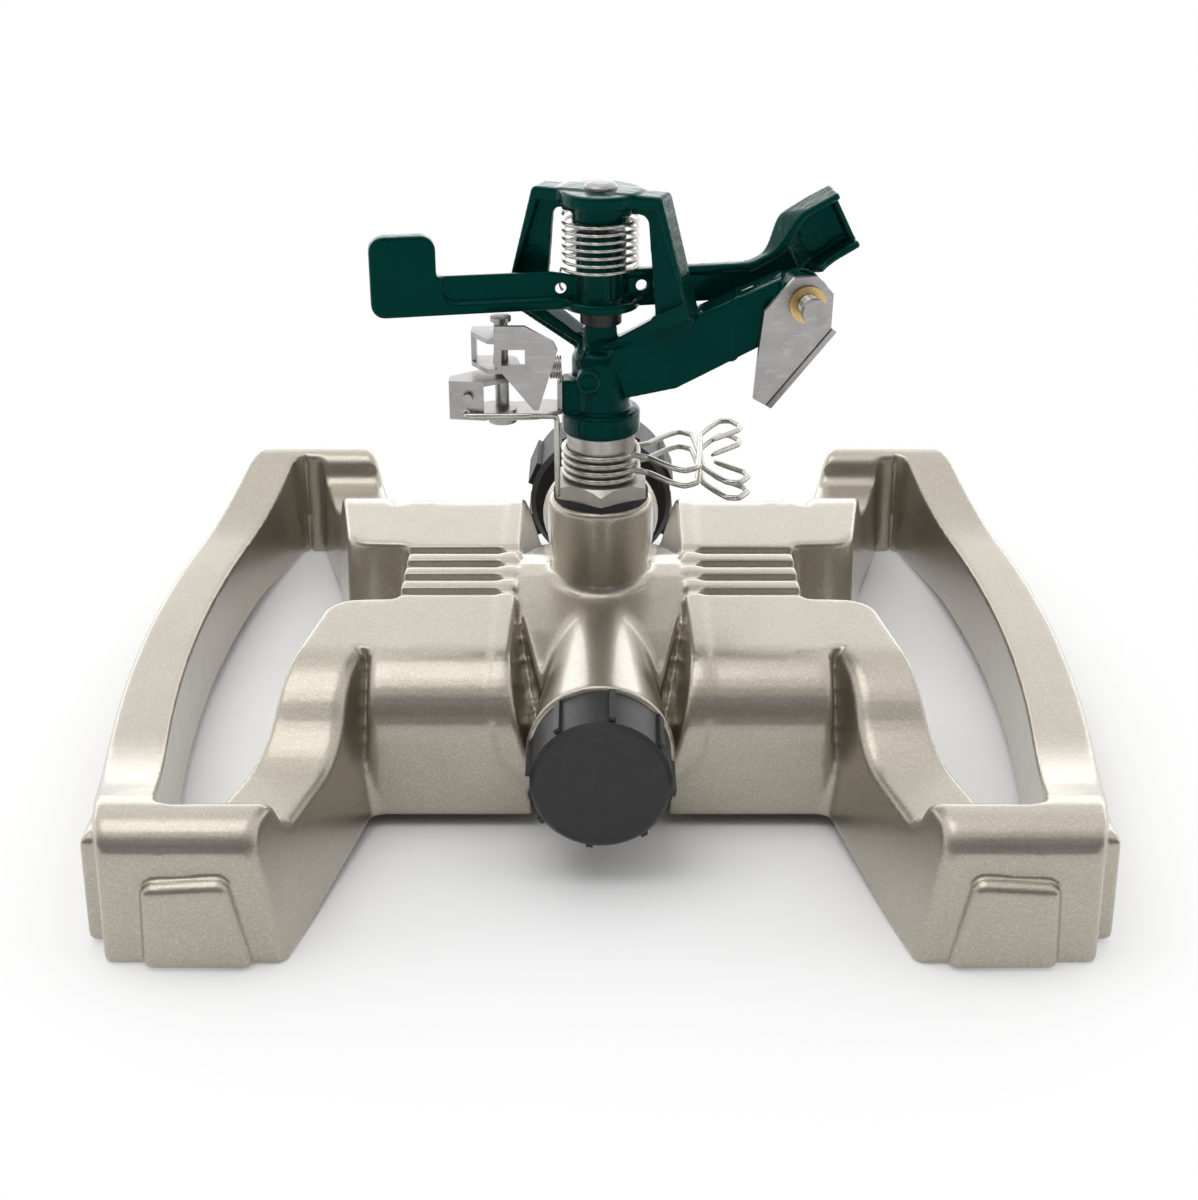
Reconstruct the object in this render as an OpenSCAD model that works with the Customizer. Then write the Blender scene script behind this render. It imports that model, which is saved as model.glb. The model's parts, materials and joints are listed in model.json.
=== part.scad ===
// Impact sprinkler on a cast sled base.
// Millimetres, +Z up. The origin is on the ground under the riser's axis, +Y points to the hose coupling.

/* [Base casting] */
// Height of the deck
deck_z = 41; // [39:0.5:44]
// Inner edge of the two decks, from the middle plane
deck_inner_x = 22.6; // [22:0.2:24]
// Outer edge of the waist between the two decks
waist_x = 53; // [46:0.5:55]
// Half width of the waist, along Y
waist_half_y = 17; // [15.5:0.5:19]
// Outer side of the rounded shoulders
shoulder_x = 56.5; // [50:0.5:57]
// Front face of the rounded shoulders
shoulder_y = 62; // [58:0.5:64]
// Radius of the rounded shoulders
shoulder_r = 17.5; // [12:0.5:20]
// Top of the legs between deck and foot
leg_z = 25; // [22:0.5:28]
// Top of the side rails at mid length
rail_z = 24; // [21:0.5:27]
// Top of the feet
foot_z = 33.6; // [31:0.2:36]
// Outer face of the feet, at the ground
foot_y = 118; // [116:0.5:124]
// Outer edge of the rails at mid length
rail_x = 122.4; // [120:0.2:126]
// Radius of the rails' outer edge, seen from above
rail_sweep_r = 624; // [560:1:800]
// Inner edge of the rails at mid length
rail_inner_x = 109.4; // [106:0.2:111]
// Wall of the casting
wall = 3; // [2.4:0.2:3.6]
// Draft of the legs' inner walls, in degrees
leg_draft = 14; // [10:0.5:16]
// Distance from groove to groove on the waist
rib_pitch = 8.8; // [7.5:0.1:9.2]
// Width of a groove
groove_w = 3.9; // [2.5:0.1:4.5]
// Depth of a groove
groove_depth = 2.4; // [1:0.1:3]
// Thickness of the pads on the feet
pad_t = 3.2; // [1.5:0.1:4]

/* [Water way] */
// Height of the through tube's axis
tube_z = 27; // [25:0.2:28]
// Radius of the through tube near the riser
tube_r = 11.4; // [11:0.1:12.5]
// Radius of the through tube's rim
rim_r = 17.5; // [16.8:0.1:18.2]
// Distance of the rim from the middle
rim_y = 72; // [70:0.5:76]
// Radius of the water bore
bore_r = 8; // [6:0.1:8.5]
// Height of the riser above the deck
riser_h = 21.4; // [18:0.2:25]
// Outer radius of the riser's top
riser_r = 13.6; // [13.2:0.1:14.4]
// Radius of the riser's threaded bore
riser_bore_r = 10.4; // [10.2:0.1:10.8]
// Radius of the hose thread on the front end
hose_male_r = 13.2; // [12.8:0.1:13.3]
// Radius inside the coupling's hose thread
hose_female_r = 13.4; // [13.4:0.1:13.8]
// Outer radius of the front cap
cap_r = 16.5; // [16:0.1:17.5]
// Depth of the front cap
cap_depth = 15; // [13:0.5:18]
// Grip ribs around the front cap
cap_ribs = 8; // [6:1:12]
// Outer radius of the hose coupling
coupling_r = 21.5; // [20:0.1:23]
// Length of the hose coupling
coupling_len = 26; // [24:0.5:32]
// Grip lobes around the hose coupling
coupling_lobes = 8; // [6:1:12]

/* [Bearing and collar stops] */
// Hexagon of the bearing sleeve, across flats
hex_af = 23; // [22:0.2:24]
// Height of the hexagon
hex_h = 4.2; // [3.5:0.1:4.5]
// Outer radius of the sleeve that the stops grip
sleeve_r = 8.7; // [8.4:0.05:8.9]
// Length of that sleeve above the hexagon
sleeve_len = 15.4; // [15:0.1:17]
// Outer radius of the turning bearing tube
stem_r = 6.5; // [6:0.05:6.8]
// Inner radius of the bearing tube
stem_bore_r = 4.8; // [4:0.05:5]
// Diameter of the collar stops' wire
stop_wire = 1.6; // [1.3:0.1:1.7]
// Distance between turns of the collar stops
stop_pitch = 2.05; // [2.02:0.01:2.1]
// Reach of the collar stops' finger loops
stop_reach = 37; // [33:0.5:42]

/* [Head] */
// Radius of the body's barrel
barrel_r = 7.4; // [7.2:0.1:8]
// Radius of the body's skirt
skirt_r = 9.7; // [9.6:0.1:10.4]
// Height of the barrel and its dome above the skirt
barrel_h = 12.8; // [11:0.2:15]
// Height of the neck above the dome
neck_h = 6.3; // [5:0.1:8]
// Height of the bridge above the neck
bridge_h = 33.3; // [27:0.1:40]
// Thickness of the bridge
bridge_t = 7.5; // [5:0.1:8]
// Turn of the bridge about the vertical axis, in degrees
bridge_turn = -22; // [-26:1:-18]
// Turn of the nozzle barrel about the vertical axis, in degrees
nozzle_turn = -5; // [-8:1:-3]
// Rise of the nozzle barrel, in degrees
nozzle_rise = 26; // [24:1:28]
// Width of the nozzle barrel
nozzle_w = 10; // [8:0.2:11]
// Radius of the nozzle's outlet
jet_r = 2; // [1.2:0.1:2.8]

/* [Drive arm] */
// Turn of the arm at rest, in degrees
arm_turn = 9; // [7:1:11]
// Height of the bush between neck and arm
bush_h = 4.1; // [3.5:0.1:5]
// Radius of the arm's hub
hub_r = 6.3; // [5.5:0.1:6.6]
// Radius of the arm's pin
pin_r = 2.4; // [2:0.05:2.6]
// Running gap around a turning pin, on the radius
running_gap = 0.05; // [0.02:0.01:0.09]
// Reach of the counterweight paddle
paddle_reach = 57; // [50:0.5:60]
// Width of the counterweight paddle
paddle_w = 16.2; // [12:0.2:18]
// Height of the counterweight paddle
paddle_h = 20.2; // [16:0.2:24]
// Outer radius of the arm's spring
spring_r = 9.9; // [9.4:0.1:10.6]
// Turns of the arm's spring
spring_turns = 7; // [5:1:8]
// Diameter of the arm's spring wire
spring_wire = 1; // [0.8:0.1:1.2]

/* [Deflector] */
// Distance of the deflector's screw from the middle
deflector_x = 50.6; // [49:0.2:52]
// Height of the deflector's screw above the dome
deflector_h = 14; // [12.6:0.2:15]
// Thickness of the steel sheet
sheet_t = 1.2; // [0.8:0.1:1.4]
// Radius of the deflector's screw
screw_r = 1.9; // [1.5:0.05:2]
// Turn of the deflector about the vertical axis, in degrees
deflector_turn = 10; // [6:1:12]

/* [Trip mechanism] */
// Distance of the trip post to the left of the middle
post_x = 24.8; // [24:0.2:26]
// Distance of the trip post in front of the middle
post_y = 6; // [5.4:0.2:6.6]
// Radius of the trip post
post_r = 1.75; // [1.4:0.05:1.9]
// Diameter of the trip wire
trip_wire_d = 1.6; // [1.2:0.1:1.8]

/* [Hidden] */
$fn = 48;
seat_gap = 0.3;
tiny = 0.01;
big = 400;

champagne = "#a39a86";
green = "#0f4a3c";
black = "#1c1c1e";
steel = "#b9b6b0";

// Heights that follow from the driving sizes
riser_z = deck_z + riser_h;
washer_t = 1.8;
hex_z = riser_z + washer_t;
sleeve_z = hex_z + hex_h;
sleeve_top = sleeve_z + sleeve_len;
skirt_z = sleeve_top - 3.2;
body_seat_z = sleeve_top + 1.4;
skirt_top_z = skirt_z + 9.6;
dome_z = skirt_top_z + barrel_h;
neck_z = dome_z + neck_h;
arm_z = neck_z + bush_h;
bridge_z = neck_z + bridge_h;
deflector_z = dome_z + deflector_h;

// Unit vector along v
function unit(v) = v / norm(v);

// Points of a fillet of radius r at corner b, between a and c
function fillet_points(a, b, c, r, n) =
    let (u = unit(a - b), v = unit(c - b), half = acos(u * v) / 2)
    let (m = b + unit(u + v) * r / sin(half), p = b + u * r / tan(half) - m, q = b + v * r / tan(half) - m)
    let (s = atan2(p[1], p[0]), turn = atan2(q[1], q[0]) - s)
    let (sweep = turn > 180 ? turn - 360 : turn < -180 ? turn + 360 : turn)
    [for (i = [0 : n]) m + r * [cos(s + sweep * i / n), sin(s + sweep * i / n)]];

// Closed outline from corners [x, y, fillet radius]
function outline(corners, n = 6) =
    let (k = len(corners))
    [for (i = [0 : k - 1])
        let (a = corners[(i + k - 1) % k], b = corners[i], c = corners[(i + 1) % k])
        each b[2] > 0
            ? fillet_points([a[0], a[1]], [b[0], b[1]], [c[0], c[1]], b[2], n)
            : [[b[0], b[1]]]];

// The corners seen in a mirror across the X axis, in reverse order
function mirrored(corners) = [for (i = [len(corners) - 1 : -1 : 0]) [corners[i][0], -corners[i][1], corners[i][2]]];

// S-shaped step from height z0 at y0 to height z1, made of two arcs
function step_angle(dz, r) = acos(1 - abs(dz) / (2 * r));
function step_len(dz, r) = 2 * r * sin(step_angle(dz, r));
function step_points(y0, z0, z1, r, n = 6) =
    let (a = step_angle(z1 - z0, r), run = step_len(z1 - z0, r), s = sign(z1 - z0))
    concat(
        [for (i = [0 : n]) [y0 + r * sin(a * i / n), z0 + s * r * (1 - cos(a * i / n))]],
        [for (i = [n - 1 : -1 : 0]) [y0 + run - r * sin(a * i / n), z1 - s * r * (1 - cos(a * i / n))]]
    );

// Quarter arc about [y, z] from the top to the outer side
function shoulder_points(y, z, r, n = 8) = [for (i = [0 : n]) [y + r * sin(90 * i / n), z + r * cos(90 * i / n)]];

// A half profile [y, z], y rising, closed with its mirror image and the given bottom points
function both_sides(half) = concat(half, [for (i = [len(half) - 1 : -1 : 0]) [-half[i][0], half[i][1]]]);

// Extrudes a [y, z] profile along X from x0 to x1
module along_x(x0, x1) translate([x0, 0, 0]) rotate([90, 0, 90]) linear_extrude(x1 - x0) children();

// Extrudes an [x, z] profile along Y from y0 to y1
module along_y(y0, y1) translate([0, y1, 0]) rotate([90, 0, 0]) linear_extrude(y1 - y0) children();

// Cylinder or cone along Y from y0 to y1
module rod_y(y0, y1, r0, r1 = undef)
    translate([0, y0, 0]) rotate([-90, 0, 0]) cylinder(h = y1 - y0, r1 = r0, r2 = is_undef(r1) ? r0 : r1);

// Round wire of radius r along a path; no stretch of the path is parallel to ref
module wire(path, r, ref, sides = 8) {
    n = len(path);
    function heading(i) = unit(path[min(i + 1, n - 1)] - path[max(i - 1, 0)]);
    rings = [for (i = [0 : n - 1])
        let (t = heading(i), a = unit(cross(t, ref)), b = cross(a, t))
        for (k = [0 : sides - 1]) path[i] + r * (cos(360 * k / sides) * a + sin(360 * k / sides) * b)];
    skin = [for (i = [0 : n - 2]) for (k = [0 : sides - 1])
        let (j = (k + 1) % sides)
        [i * sides + k, i * sides + j, (i + 1) * sides + j, (i + 1) * sides + k]];
    first = [for (k = [sides - 1 : -1 : 0]) k];
    last = [for (k = [0 : sides - 1]) (n - 1) * sides + k];
    polyhedron(rings, concat(skin, [first], [last]));
}

// Path with its corners rounded, in space
function round_path(points, r, n = 3) =
    let (k = len(points))
    [for (i = [0 : k - 1])
        each i == 0 || i == k - 1 ? [points[i]]
            : let (u = unit(points[i - 1] - points[i]), v = unit(points[i + 1] - points[i]))
              let (half = acos(max(-1, min(1, u * v))) / 2)
              half > 80 ? [points[i]]
              : let (cut = min(r / tan(half), 0.45 * norm(points[i - 1] - points[i]),
                               0.45 * norm(points[i + 1] - points[i])))
                [for (j = [0 : n])
                    let (t = j / n)
                    points[i] + u * cut * (1 - t) * (1 - t) + v * cut * t * t]];

// Base casting

// Half profiles in Y and Z of the leg, the rail and the deck, lowered by the inset
foot_top_y = foot_y - 6.7;
foot_round_r = 6;
leg_step_r = 24;
foot_step_r = 5;
leg_step_y = 45.5;
foot_step_y = foot_top_y - 4 - step_len(foot_z - leg_z, foot_step_r);
rail_step_y = foot_top_y - 6 - step_len(foot_z - rail_z, leg_step_r);
keel_z = 3;
keel_y = 62;
sole_y = 104;

function foot_profile(inset) = concat(
    shoulder_points(foot_top_y - inset, foot_z - foot_round_r - inset, foot_round_r),
    [[foot_y - inset, inset > 0 ? -1 : 0]]);
function sole(inset) = inset > 0 ? [] : [[sole_y, 0], [keel_y, keel_z]];
function leg_profile(inset) = both_sides(concat(
    step_points(leg_step_y, deck_z - inset, leg_z - inset, leg_step_r),
    step_points(foot_step_y, leg_z - inset, foot_z - inset, foot_step_r),
    foot_profile(inset), sole(inset)));
function rail_profile(inset) = both_sides(concat(
    step_points(rail_step_y, rail_z - inset, foot_z - inset, leg_step_r),
    foot_profile(inset), sole(inset)));
function shoulder_profile(inset) = both_sides(concat(
    shoulder_points(shoulder_y - shoulder_r - inset, deck_z - shoulder_r - inset, shoulder_r),
    [[shoulder_y - inset, inset > 0 ? -1 : keel_z]]));

// Opening between a rail and the body, seen from above, grown by the inset
pocket_x = 88.7;
function window_half(inset) = [
    [waist_x - inset, waist_half_y + inset, 2], [70 - inset, waist_half_y + inset + 0.5, 9],
    [74.6 - inset, 45, 12], [78.8 - inset, 68, 30],
    [pocket_x - inset, foot_y - 10 + inset, 3], [pocket_x + 9.6 + inset, foot_y - 10 + inset, 3],
    [rail_inner_x - 12 + inset, 88, 12], [rail_inner_x + inset, 40, 60]];

module windows(inset)
    for (side = [0, 1]) mirror([side, 0, 0])
        translate([0, 0, -2]) linear_extrude(deck_z + 4)
            polygon(outline(concat(window_half(inset), mirrored(window_half(inset))), 5));

// Everything outside the leg's inner wall, which leans by the draft
module beyond_leg_wall(inset)
    translate([56, 64, 0]) rotate([0, 0, -13.75]) rotate([0, leg_draft, 0])
        translate([inset, -big / 2, -big / 4]) cube([big, big, big]);

module rail_disc(inset)
    translate([rail_x - rail_sweep_r, 0, -2])
        cylinder(h = deck_z + 4, r1 = rail_sweep_r + 1.2 - inset, r2 = rail_sweep_r - 1 - inset, $fn = 360);

split_x = 94;
module side_frame(inset) {
    for (end = [0, 1]) mirror([0, end, 0])
        intersection() {
            beyond_leg_wall(inset);
            along_x(40, split_x) polygon(leg_profile(inset));
            translate([0, 0, -2]) cube([big, big, deck_z + 4]);
        }
    intersection() {
        rail_disc(inset);
        along_x(split_x - tiny, rail_x + 4) polygon(rail_profile(inset));
    }
    along_x(deck_inner_x + inset, shoulder_x - inset) polygon(shoulder_profile(inset));
    translate([shoulder_x - 20, -leg_step_y, inset > 0 ? -1 : keel_z])
        cube([split_x - shoulder_x + 20 - inset, 2 * leg_step_y, deck_z - inset - (inset > 0 ? -1 : keel_z)]);
}

module grooves()
    for (k = [-1.5 : 1 : 1.5])
        translate([deck_inner_x - 2, k * rib_pitch - groove_w / 2, deck_z - groove_depth])
            cube([waist_x - deck_inner_x + 6, groove_w, groove_depth + 1]);

module foot_pads()
    for (side = [0, 1]) mirror([side, 0, 0])
        for (end = [0, 1]) mirror([0, end, 0]) {
            along_y(foot_y - 3, foot_y + pad_t)
                polygon(outline([[75.3, 0, 2], [99.8, 0, 2], [98.7, 24, 3], [80.2, 24, 3]], 4));
            difference() {
                intersection() {
                    rail_disc(-1.8);
                    translate([100, foot_y - 28, 0]) cube([30, 21, foot_z - 3.4]);
                }
                rail_disc(wall - 1);
            }
        }

// Fairing between the through tube and the decks
module saddle() {
    for (side = [0, 1]) mirror([side, 0, 0]) {
        intersection() {
            along_y(-big / 4, big / 4)
                polygon([[0, 10], [14.6, 12.4], [20.4, 19.6], [deck_inner_x + 1, 30], [deck_inner_x + 1, deck_z],
                         [deck_inner_x, deck_z], [21.6, 36], [19.6, 30], [17.6, 22], [14, 16], [0, 13]]);
            along_x(-1, deck_inner_x + 1) polygon(shoulder_profile(0));
        }
        for (end = [0, 1]) mirror([0, end, 0])
            intersection() {
                linear_extrude(deck_z)
                    polygon([[0, -1], [21.6, -1], [21.6, 4.2], [18.6, 26], [14.6, 44], [8, 44], [0, 30]]);
                along_x(-1, deck_inner_x)
                    polygon([[-2, 16], [-2, deck_z], [4.2, deck_z], [15, 38.8], [26, 35.8], [36, 32.6], [44, 29],
                             [44, 16]]);
            }
    }
}

module through_tube()
    translate([0, 0, tube_z])
        for (end = [0, 1]) mirror([0, end, 0]) {
            rod_y(-tiny, 13.6, tube_r);
            rod_y(13.6 - tiny, rim_y, tube_r, rim_r - 0.6);
            rod_y(rim_y - 1.2, rim_y + 0.8, rim_r);
        }

riser_foot_z = tube_z;
tail_bore_y = 60;
tail_r = 10.4;
cap_face_t = 2.8;
cap_washer_t = 1.3;
spigot_len = cap_depth + 1.2 - cap_face_t - cap_washer_t - 0.1;

module base_casting() color(champagne) difference() {
    union() {
        difference() {
            union() for (side = [0, 1]) mirror([side, 0, 0]) side_frame(0);
            for (side = [0, 1]) mirror([side, 0, 0]) difference() {
                side_frame(wall);
                windows(wall);
            }
            windows(0);
            grooves();
            mirror([1, 0, 0]) grooves();
        }
        foot_pads();
        saddle();
        through_tube();
        translate([0, 0, riser_foot_z]) cylinder(h = deck_z - riser_foot_z, r = riser_r - 0.9);
        translate([0, 0, deck_z - tiny]) cylinder(h = riser_z - deck_z, r1 = riser_r - 0.9, r2 = riser_r);
        translate([0, 0, tube_z]) mirror([0, 1, 0]) rod_y(rim_y, rim_y + spigot_len, hose_male_r);
        translate([0, 0, tube_z]) rod_y(rim_y, rim_y + 4, rim_r - 3.5);
    }
    translate([0, 0, tube_z]) {
        rod_y(-big / 2, big / 2, bore_r);
        rod_y(tail_bore_y, big / 2, tail_r);
    }
    translate([0, 0, tube_z]) cylinder(h = big / 4, r = bore_r);
    translate([0, 0, deck_z - 2]) cylinder(h = big / 4, r = riser_bore_r);
}

module ring(z, h, r_out, r_in) translate([0, 0, z]) difference() {
    cylinder(h = h, r = r_out);
    translate([0, 0, -1]) cylinder(h = h + 2, r = r_in);
}

module riser_washer() color(black) ring(riser_z, washer_t, riser_r - 1.3, riser_bore_r);

module bearing_sleeve() color(steel) difference() {
    union() {
        translate([0, 0, deck_z + 8]) cylinder(h = hex_z - deck_z - 8, r = riser_bore_r);
        intersection() {
            translate([0, 0, hex_z]) rotate([0, 0, 30]) cylinder(h = hex_h, r = hex_af / sqrt(3), $fn = 6);
            translate([0, 0, hex_z]) cylinder(h = hex_h, r1 = hex_af / 2 + 4.5, r2 = hex_af / 2);
        }
        translate([0, 0, sleeve_z - tiny]) cylinder(h = sleeve_len + tiny, r = sleeve_r);
    }
    cylinder(h = big, r = stem_r + running_gap);
}

// Front cap and its washer
cap_face_y = rim_y + 1.2 + cap_depth;
module front_cap() color(black) translate([0, 0, tube_z]) mirror([0, 1, 0]) difference() {
    union() {
        rod_y(cap_face_y - cap_depth, cap_face_y - 1, cap_r, cap_r - 0.2);
        rod_y(cap_face_y - 1, cap_face_y, cap_r - 0.2, cap_r - 1.2);
        for (k = [0 : cap_ribs - 1]) rotate([0, (k + 0.2) * 360 / cap_ribs, 0])
            translate([-0.8, cap_face_y - cap_depth, cap_r - 2]) cube([1.6, cap_depth - 1.6, 2.9]);
    }
    rod_y(cap_face_y - cap_depth - 1, cap_face_y - cap_face_t, hose_male_r + seat_gap);
}
module cap_washer() color(black) translate([0, 0, tube_z]) mirror([0, 1, 0]) difference() {
    rod_y(cap_face_y - cap_face_t - cap_washer_t, cap_face_y - cap_face_t, hose_male_r - 0.2);
    rod_y(0, big, bore_r - 1);
}

// Hose coupling, its tailpiece and washer
coupling_y = rim_y + 8;
thread_len = 9.5;
washer_seat_len = 3;
flange_y = coupling_y + coupling_len - thread_len - washer_seat_len - 2;
module inlet_tailpiece() color(steel) translate([0, 0, tube_z]) difference() {
    union() {
        rod_y(tail_bore_y, flange_y, tail_r);
        rod_y(flange_y - tiny, flange_y + 1.6, hose_female_r - 0.7);
    }
    rod_y(tail_bore_y - 1, flange_y + 3, bore_r - 0.5);
}
module hose_washer() color(black) translate([0, 0, tube_z]) difference() {
    rod_y(flange_y + 2, flange_y + 2 + washer_seat_len - 0.4, hose_female_r - 0.5);
    rod_y(flange_y, flange_y + 10, bore_r - 0.5);
}
module hose_coupling() color(black) translate([0, 0, tube_z]) difference() {
    union() {
        rod_y(coupling_y, coupling_y + 1.5, coupling_r - 1.5, coupling_r);
        rod_y(coupling_y + 1.5, coupling_y + coupling_len - 2, coupling_r);
        rod_y(coupling_y + coupling_len - 2, coupling_y + coupling_len, coupling_r, coupling_r - 2);
        for (k = [0 : coupling_lobes - 1]) rotate([0, (k + 0.5) * 360 / coupling_lobes, 0])
            translate([-3.6, coupling_y + 3, coupling_r - 3]) cube([7.2, coupling_len - 6, 4.2]);
    }
    rod_y(coupling_y - 1, flange_y + 1, tail_r + running_gap);
    rod_y(flange_y - seat_gap, coupling_y + coupling_len + 1, hose_female_r - 0.4);
    rod_y(coupling_y + coupling_len - thread_len, coupling_y + coupling_len + 1, hose_female_r);
}

// Collar stops: two turns of wire round the sleeve, crossed legs and finger loops
stop_ring_r = sleeve_r + 0.12 + stop_wire / 2;
stop_gap_angle = 34;
stop_leg = [[12.4, -7.9], [17.6, -14.4], [21, -17], [24.2, -14.5], [25.2, -6], [26, 9], [28, 13.5],
            [stop_reach - 5.5, 19.3], [stop_reach - 2.4, 19.8], [stop_reach, 15.4], [stop_reach - 0.8, 12.4],
            [stop_reach - 8.2, 5]];
stop_turn_steps = 44;
function stop_height(turned, high) =
    let (start = 360 - 2 * stop_gap_angle + 5, end = 360)
    high - stop_pitch * (turned < start ? 0 : turned > end ? 1 : (turned - start) / (end - start));
function stop_path(high) =
    let (total = 720 - 2 * stop_gap_angle)
    concat(
        [for (i = [len(stop_leg) - 1 : -1 : 0]) [stop_leg[i][0], stop_leg[i][1], high]],
        [for (i = [0 : stop_turn_steps])
            let (turned = total * i / stop_turn_steps, a = -stop_gap_angle - turned)
            [stop_ring_r * cos(a), stop_ring_r * sin(a), stop_height(turned, high)]],
        [for (p = stop_leg) [p[0], -p[1], high - stop_pitch]]);
module collar_stop(high) color(steel) wire(round_path(stop_path(high), 1.6, 2), stop_wire / 2, [0, 0, 1]);
stop_low_z = sleeve_z + 1.2 + stop_pitch;
module collar_stop_lower() collar_stop(stop_low_z);
module collar_stop_upper() collar_stop(stop_low_z + 2 * stop_pitch);

// Parts that turn in the sleeve
stem_foot_z = deck_z + 1;
module bearing_tube() color("#b08d4c") difference() {
    union() {
        translate([0, 0, stem_foot_z]) cylinder(h = 1.6, r = riser_bore_r - 1.4);
        translate([0, 0, stem_foot_z]) cylinder(h = body_seat_z + 7 - stem_foot_z, r = stem_r);
    }
    cylinder(h = big, r = stem_bore_r);
}
washer_z = stem_foot_z + 1.6 + 0.1;
module thrust_washers() color("#e8e4da") {
    ring(washer_z, 1.2, riser_bore_r - 1.6, stem_r + running_gap);
    ring(deck_z + 8 - 1.3, 1.2, riser_bore_r - 1.6, stem_r + running_gap);
}
module seal_washer() color(black)
    ring(washer_z + 1.3, deck_z + 8 - 1.4 - washer_z - 1.3, riser_bore_r - 1.5, stem_r + running_gap);
module dust_seal() color(black) ring(sleeve_top + 0.1, body_seat_z - sleeve_top - 0.1, sleeve_r - 0.4, stem_r);

// Head body: barrel with skirt, nozzle barrel, neck and bridge
function dome_points(n = 8) = [for (i = [0 : n]) [barrel_r * cos(90 * i / n), dome_z - 4.6 + 4.6 * sin(90 * i / n)]];
module body_turning() rotate_extrude() polygon(concat(
    [[0, skirt_z + 2], [sleeve_r + seat_gap, skirt_z], [skirt_r - 0.4, skirt_z], [skirt_r, skirt_z + 0.4],
     [skirt_r, skirt_top_z - 1.4], [skirt_r - 0.5, skirt_top_z - 0.4], [barrel_r + 0.5, skirt_top_z],
     [barrel_r, skirt_top_z + 0.6]],
    dome_points()));

// Side view of the nozzle barrel with its web, as [x, z]
nozzle_side = [[3, dome_z + 0.8], [26.4, dome_z + 11], [43.4, dome_z + 19.4], [37.8, dome_z + 0.8],
    [19.4, dome_z - 9.3], [6.6, dome_z - 11.8]];
module nozzle_barrel() rotate([0, 0, nozzle_turn]) {
    along_y(-nozzle_w / 2, nozzle_w / 2) polygon(nozzle_side);
    translate([deflector_x - 10, 0, deflector_z]) rotate([90, 0, 0]) linear_extrude(nozzle_w / 2)
        polygon(outline([[-6, -6, 0], [6, -4, 0], [6, 4, 0], [0, 7, 0], [-6, 4, 0]], 4));
    translate([deflector_x, -nozzle_w / 2, deflector_z]) rotate([90, 0, deflector_turn - nozzle_turn])
        translate([0, 0, -nozzle_w / 2]) cylinder(h = nozzle_w / 2, r = 6.6);
    translate([deflector_x - 12, -nozzle_w / 2, deflector_z - 5.6]) cube([12, nozzle_w / 2, 11.4]);
}

// The bridge stands in its own plane; these are half outlines as [x, z]
bridge_foot_z = neck_z - 9.8;
bridge_outer = [[0, bridge_foot_z], [3.6, neck_z - 8.9], [27.6, neck_z + 0.7], [28.6, neck_z + 3.1],
    [18.6, bridge_z], [0, bridge_z]];
bridge_inner = [[0, neck_z - 4.7], [3.8, neck_z - 3.9], [14.8, neck_z + 3.1], [12.6, bridge_z - 5.2],
    [0, bridge_z - 5.2]];
bridge_pocket = [[16.7, neck_z + 3.9], [24.6, neck_z + 4.3], [16.9, bridge_z - 3.4], [14.4, bridge_z - 3.4]];
strut_pocket = [[6, neck_z - 5.7], [21, neck_z + 1.1], [15.6, neck_z + 1.1], [6, neck_z - 4.3]];
module mirrored_x(points) {
    polygon(points);
    mirror([1, 0]) polygon(points);
}
pocket_depth = 2.2;
disc_r = 10.2;
module bridge() rotate([0, 0, bridge_turn]) {
    difference() {
        along_y(-bridge_t / 2, bridge_t / 2) difference() {
            mirrored_x(bridge_outer);
            mirrored_x(bridge_inner);
        }
        for (face = [0, 1]) mirror([0, face, 0])
            along_y(-bridge_t / 2 - 1, -bridge_t / 2 + pocket_depth) {
                mirrored_x(bridge_pocket);
                mirrored_x(strut_pocket);
            }
    }
    translate([0, 0, bridge_z - 3.2]) cylinder(h = 3.2, r = disc_r);
    translate([0, 0, bridge_z - 8.4]) cylinder(h = 5.4, r = 7.2);
}

neck_w = 7.4;
lug_x = 9.8;
module head_body() color(green) difference() {
    union() {
        body_turning();
        nozzle_barrel();
        bridge();
        translate([-neck_w / 2, -neck_w / 2, dome_z - 4]) cube([neck_w, neck_w, neck_z - dome_z + 4]);
        translate([-3.1, -barrel_r + 2, dome_z - 7.1]) rotate([90, 0, 0]) cylinder(h = 3, r = 2.9);
        translate([-lug_x, -5, skirt_top_z - 4]) cube([6, 7, 9]);
    }
    translate([0, 0, skirt_z - 1]) cylinder(h = body_seat_z - skirt_z + 1, r = sleeve_r + seat_gap);
    translate([0, 0, body_seat_z - tiny]) cylinder(h = 7 + tiny, r = stem_r);
    cylinder(h = dome_z - 5, r = stem_bore_r);
    translate([0, 0, neck_z - 6]) cylinder(h = big, r = pin_r);
    at_deflector() translate([0, 0, -screw_depth]) cylinder(h = big / 4, r = screw_r);
    nozzle_bores();
}

// The water way turns from the barrel into the nozzle
nozzle_axis_z = dome_z - 4.4;
nozzle_start = 3;
nozzle_end = 46;
module nozzle_bores() rotate([0, 0, nozzle_turn]) translate([0, 0, nozzle_axis_z - 2]) rotate([0, 90 - nozzle_rise, 0]) {
    translate([0, 0, 0]) cylinder(h = 30, r = 3.4);
    translate([0, 0, 30 - tiny]) cylinder(h = 40, r = 4);
}
module nozzle_insert() color("#d8d4c8") rotate([0, 0, nozzle_turn]) translate([0, 0, nozzle_axis_z - 2])
    rotate([0, 90 - nozzle_rise, 0]) difference() {
        translate([0, 0, 30.2]) cylinder(h = 13.6, r = 4);
        translate([0, 0, 29]) cylinder(h = 10, r1 = 3.4, r2 = jet_r);
        translate([0, 0, 38]) cylinder(h = 10, r = jet_r);
    }

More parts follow.
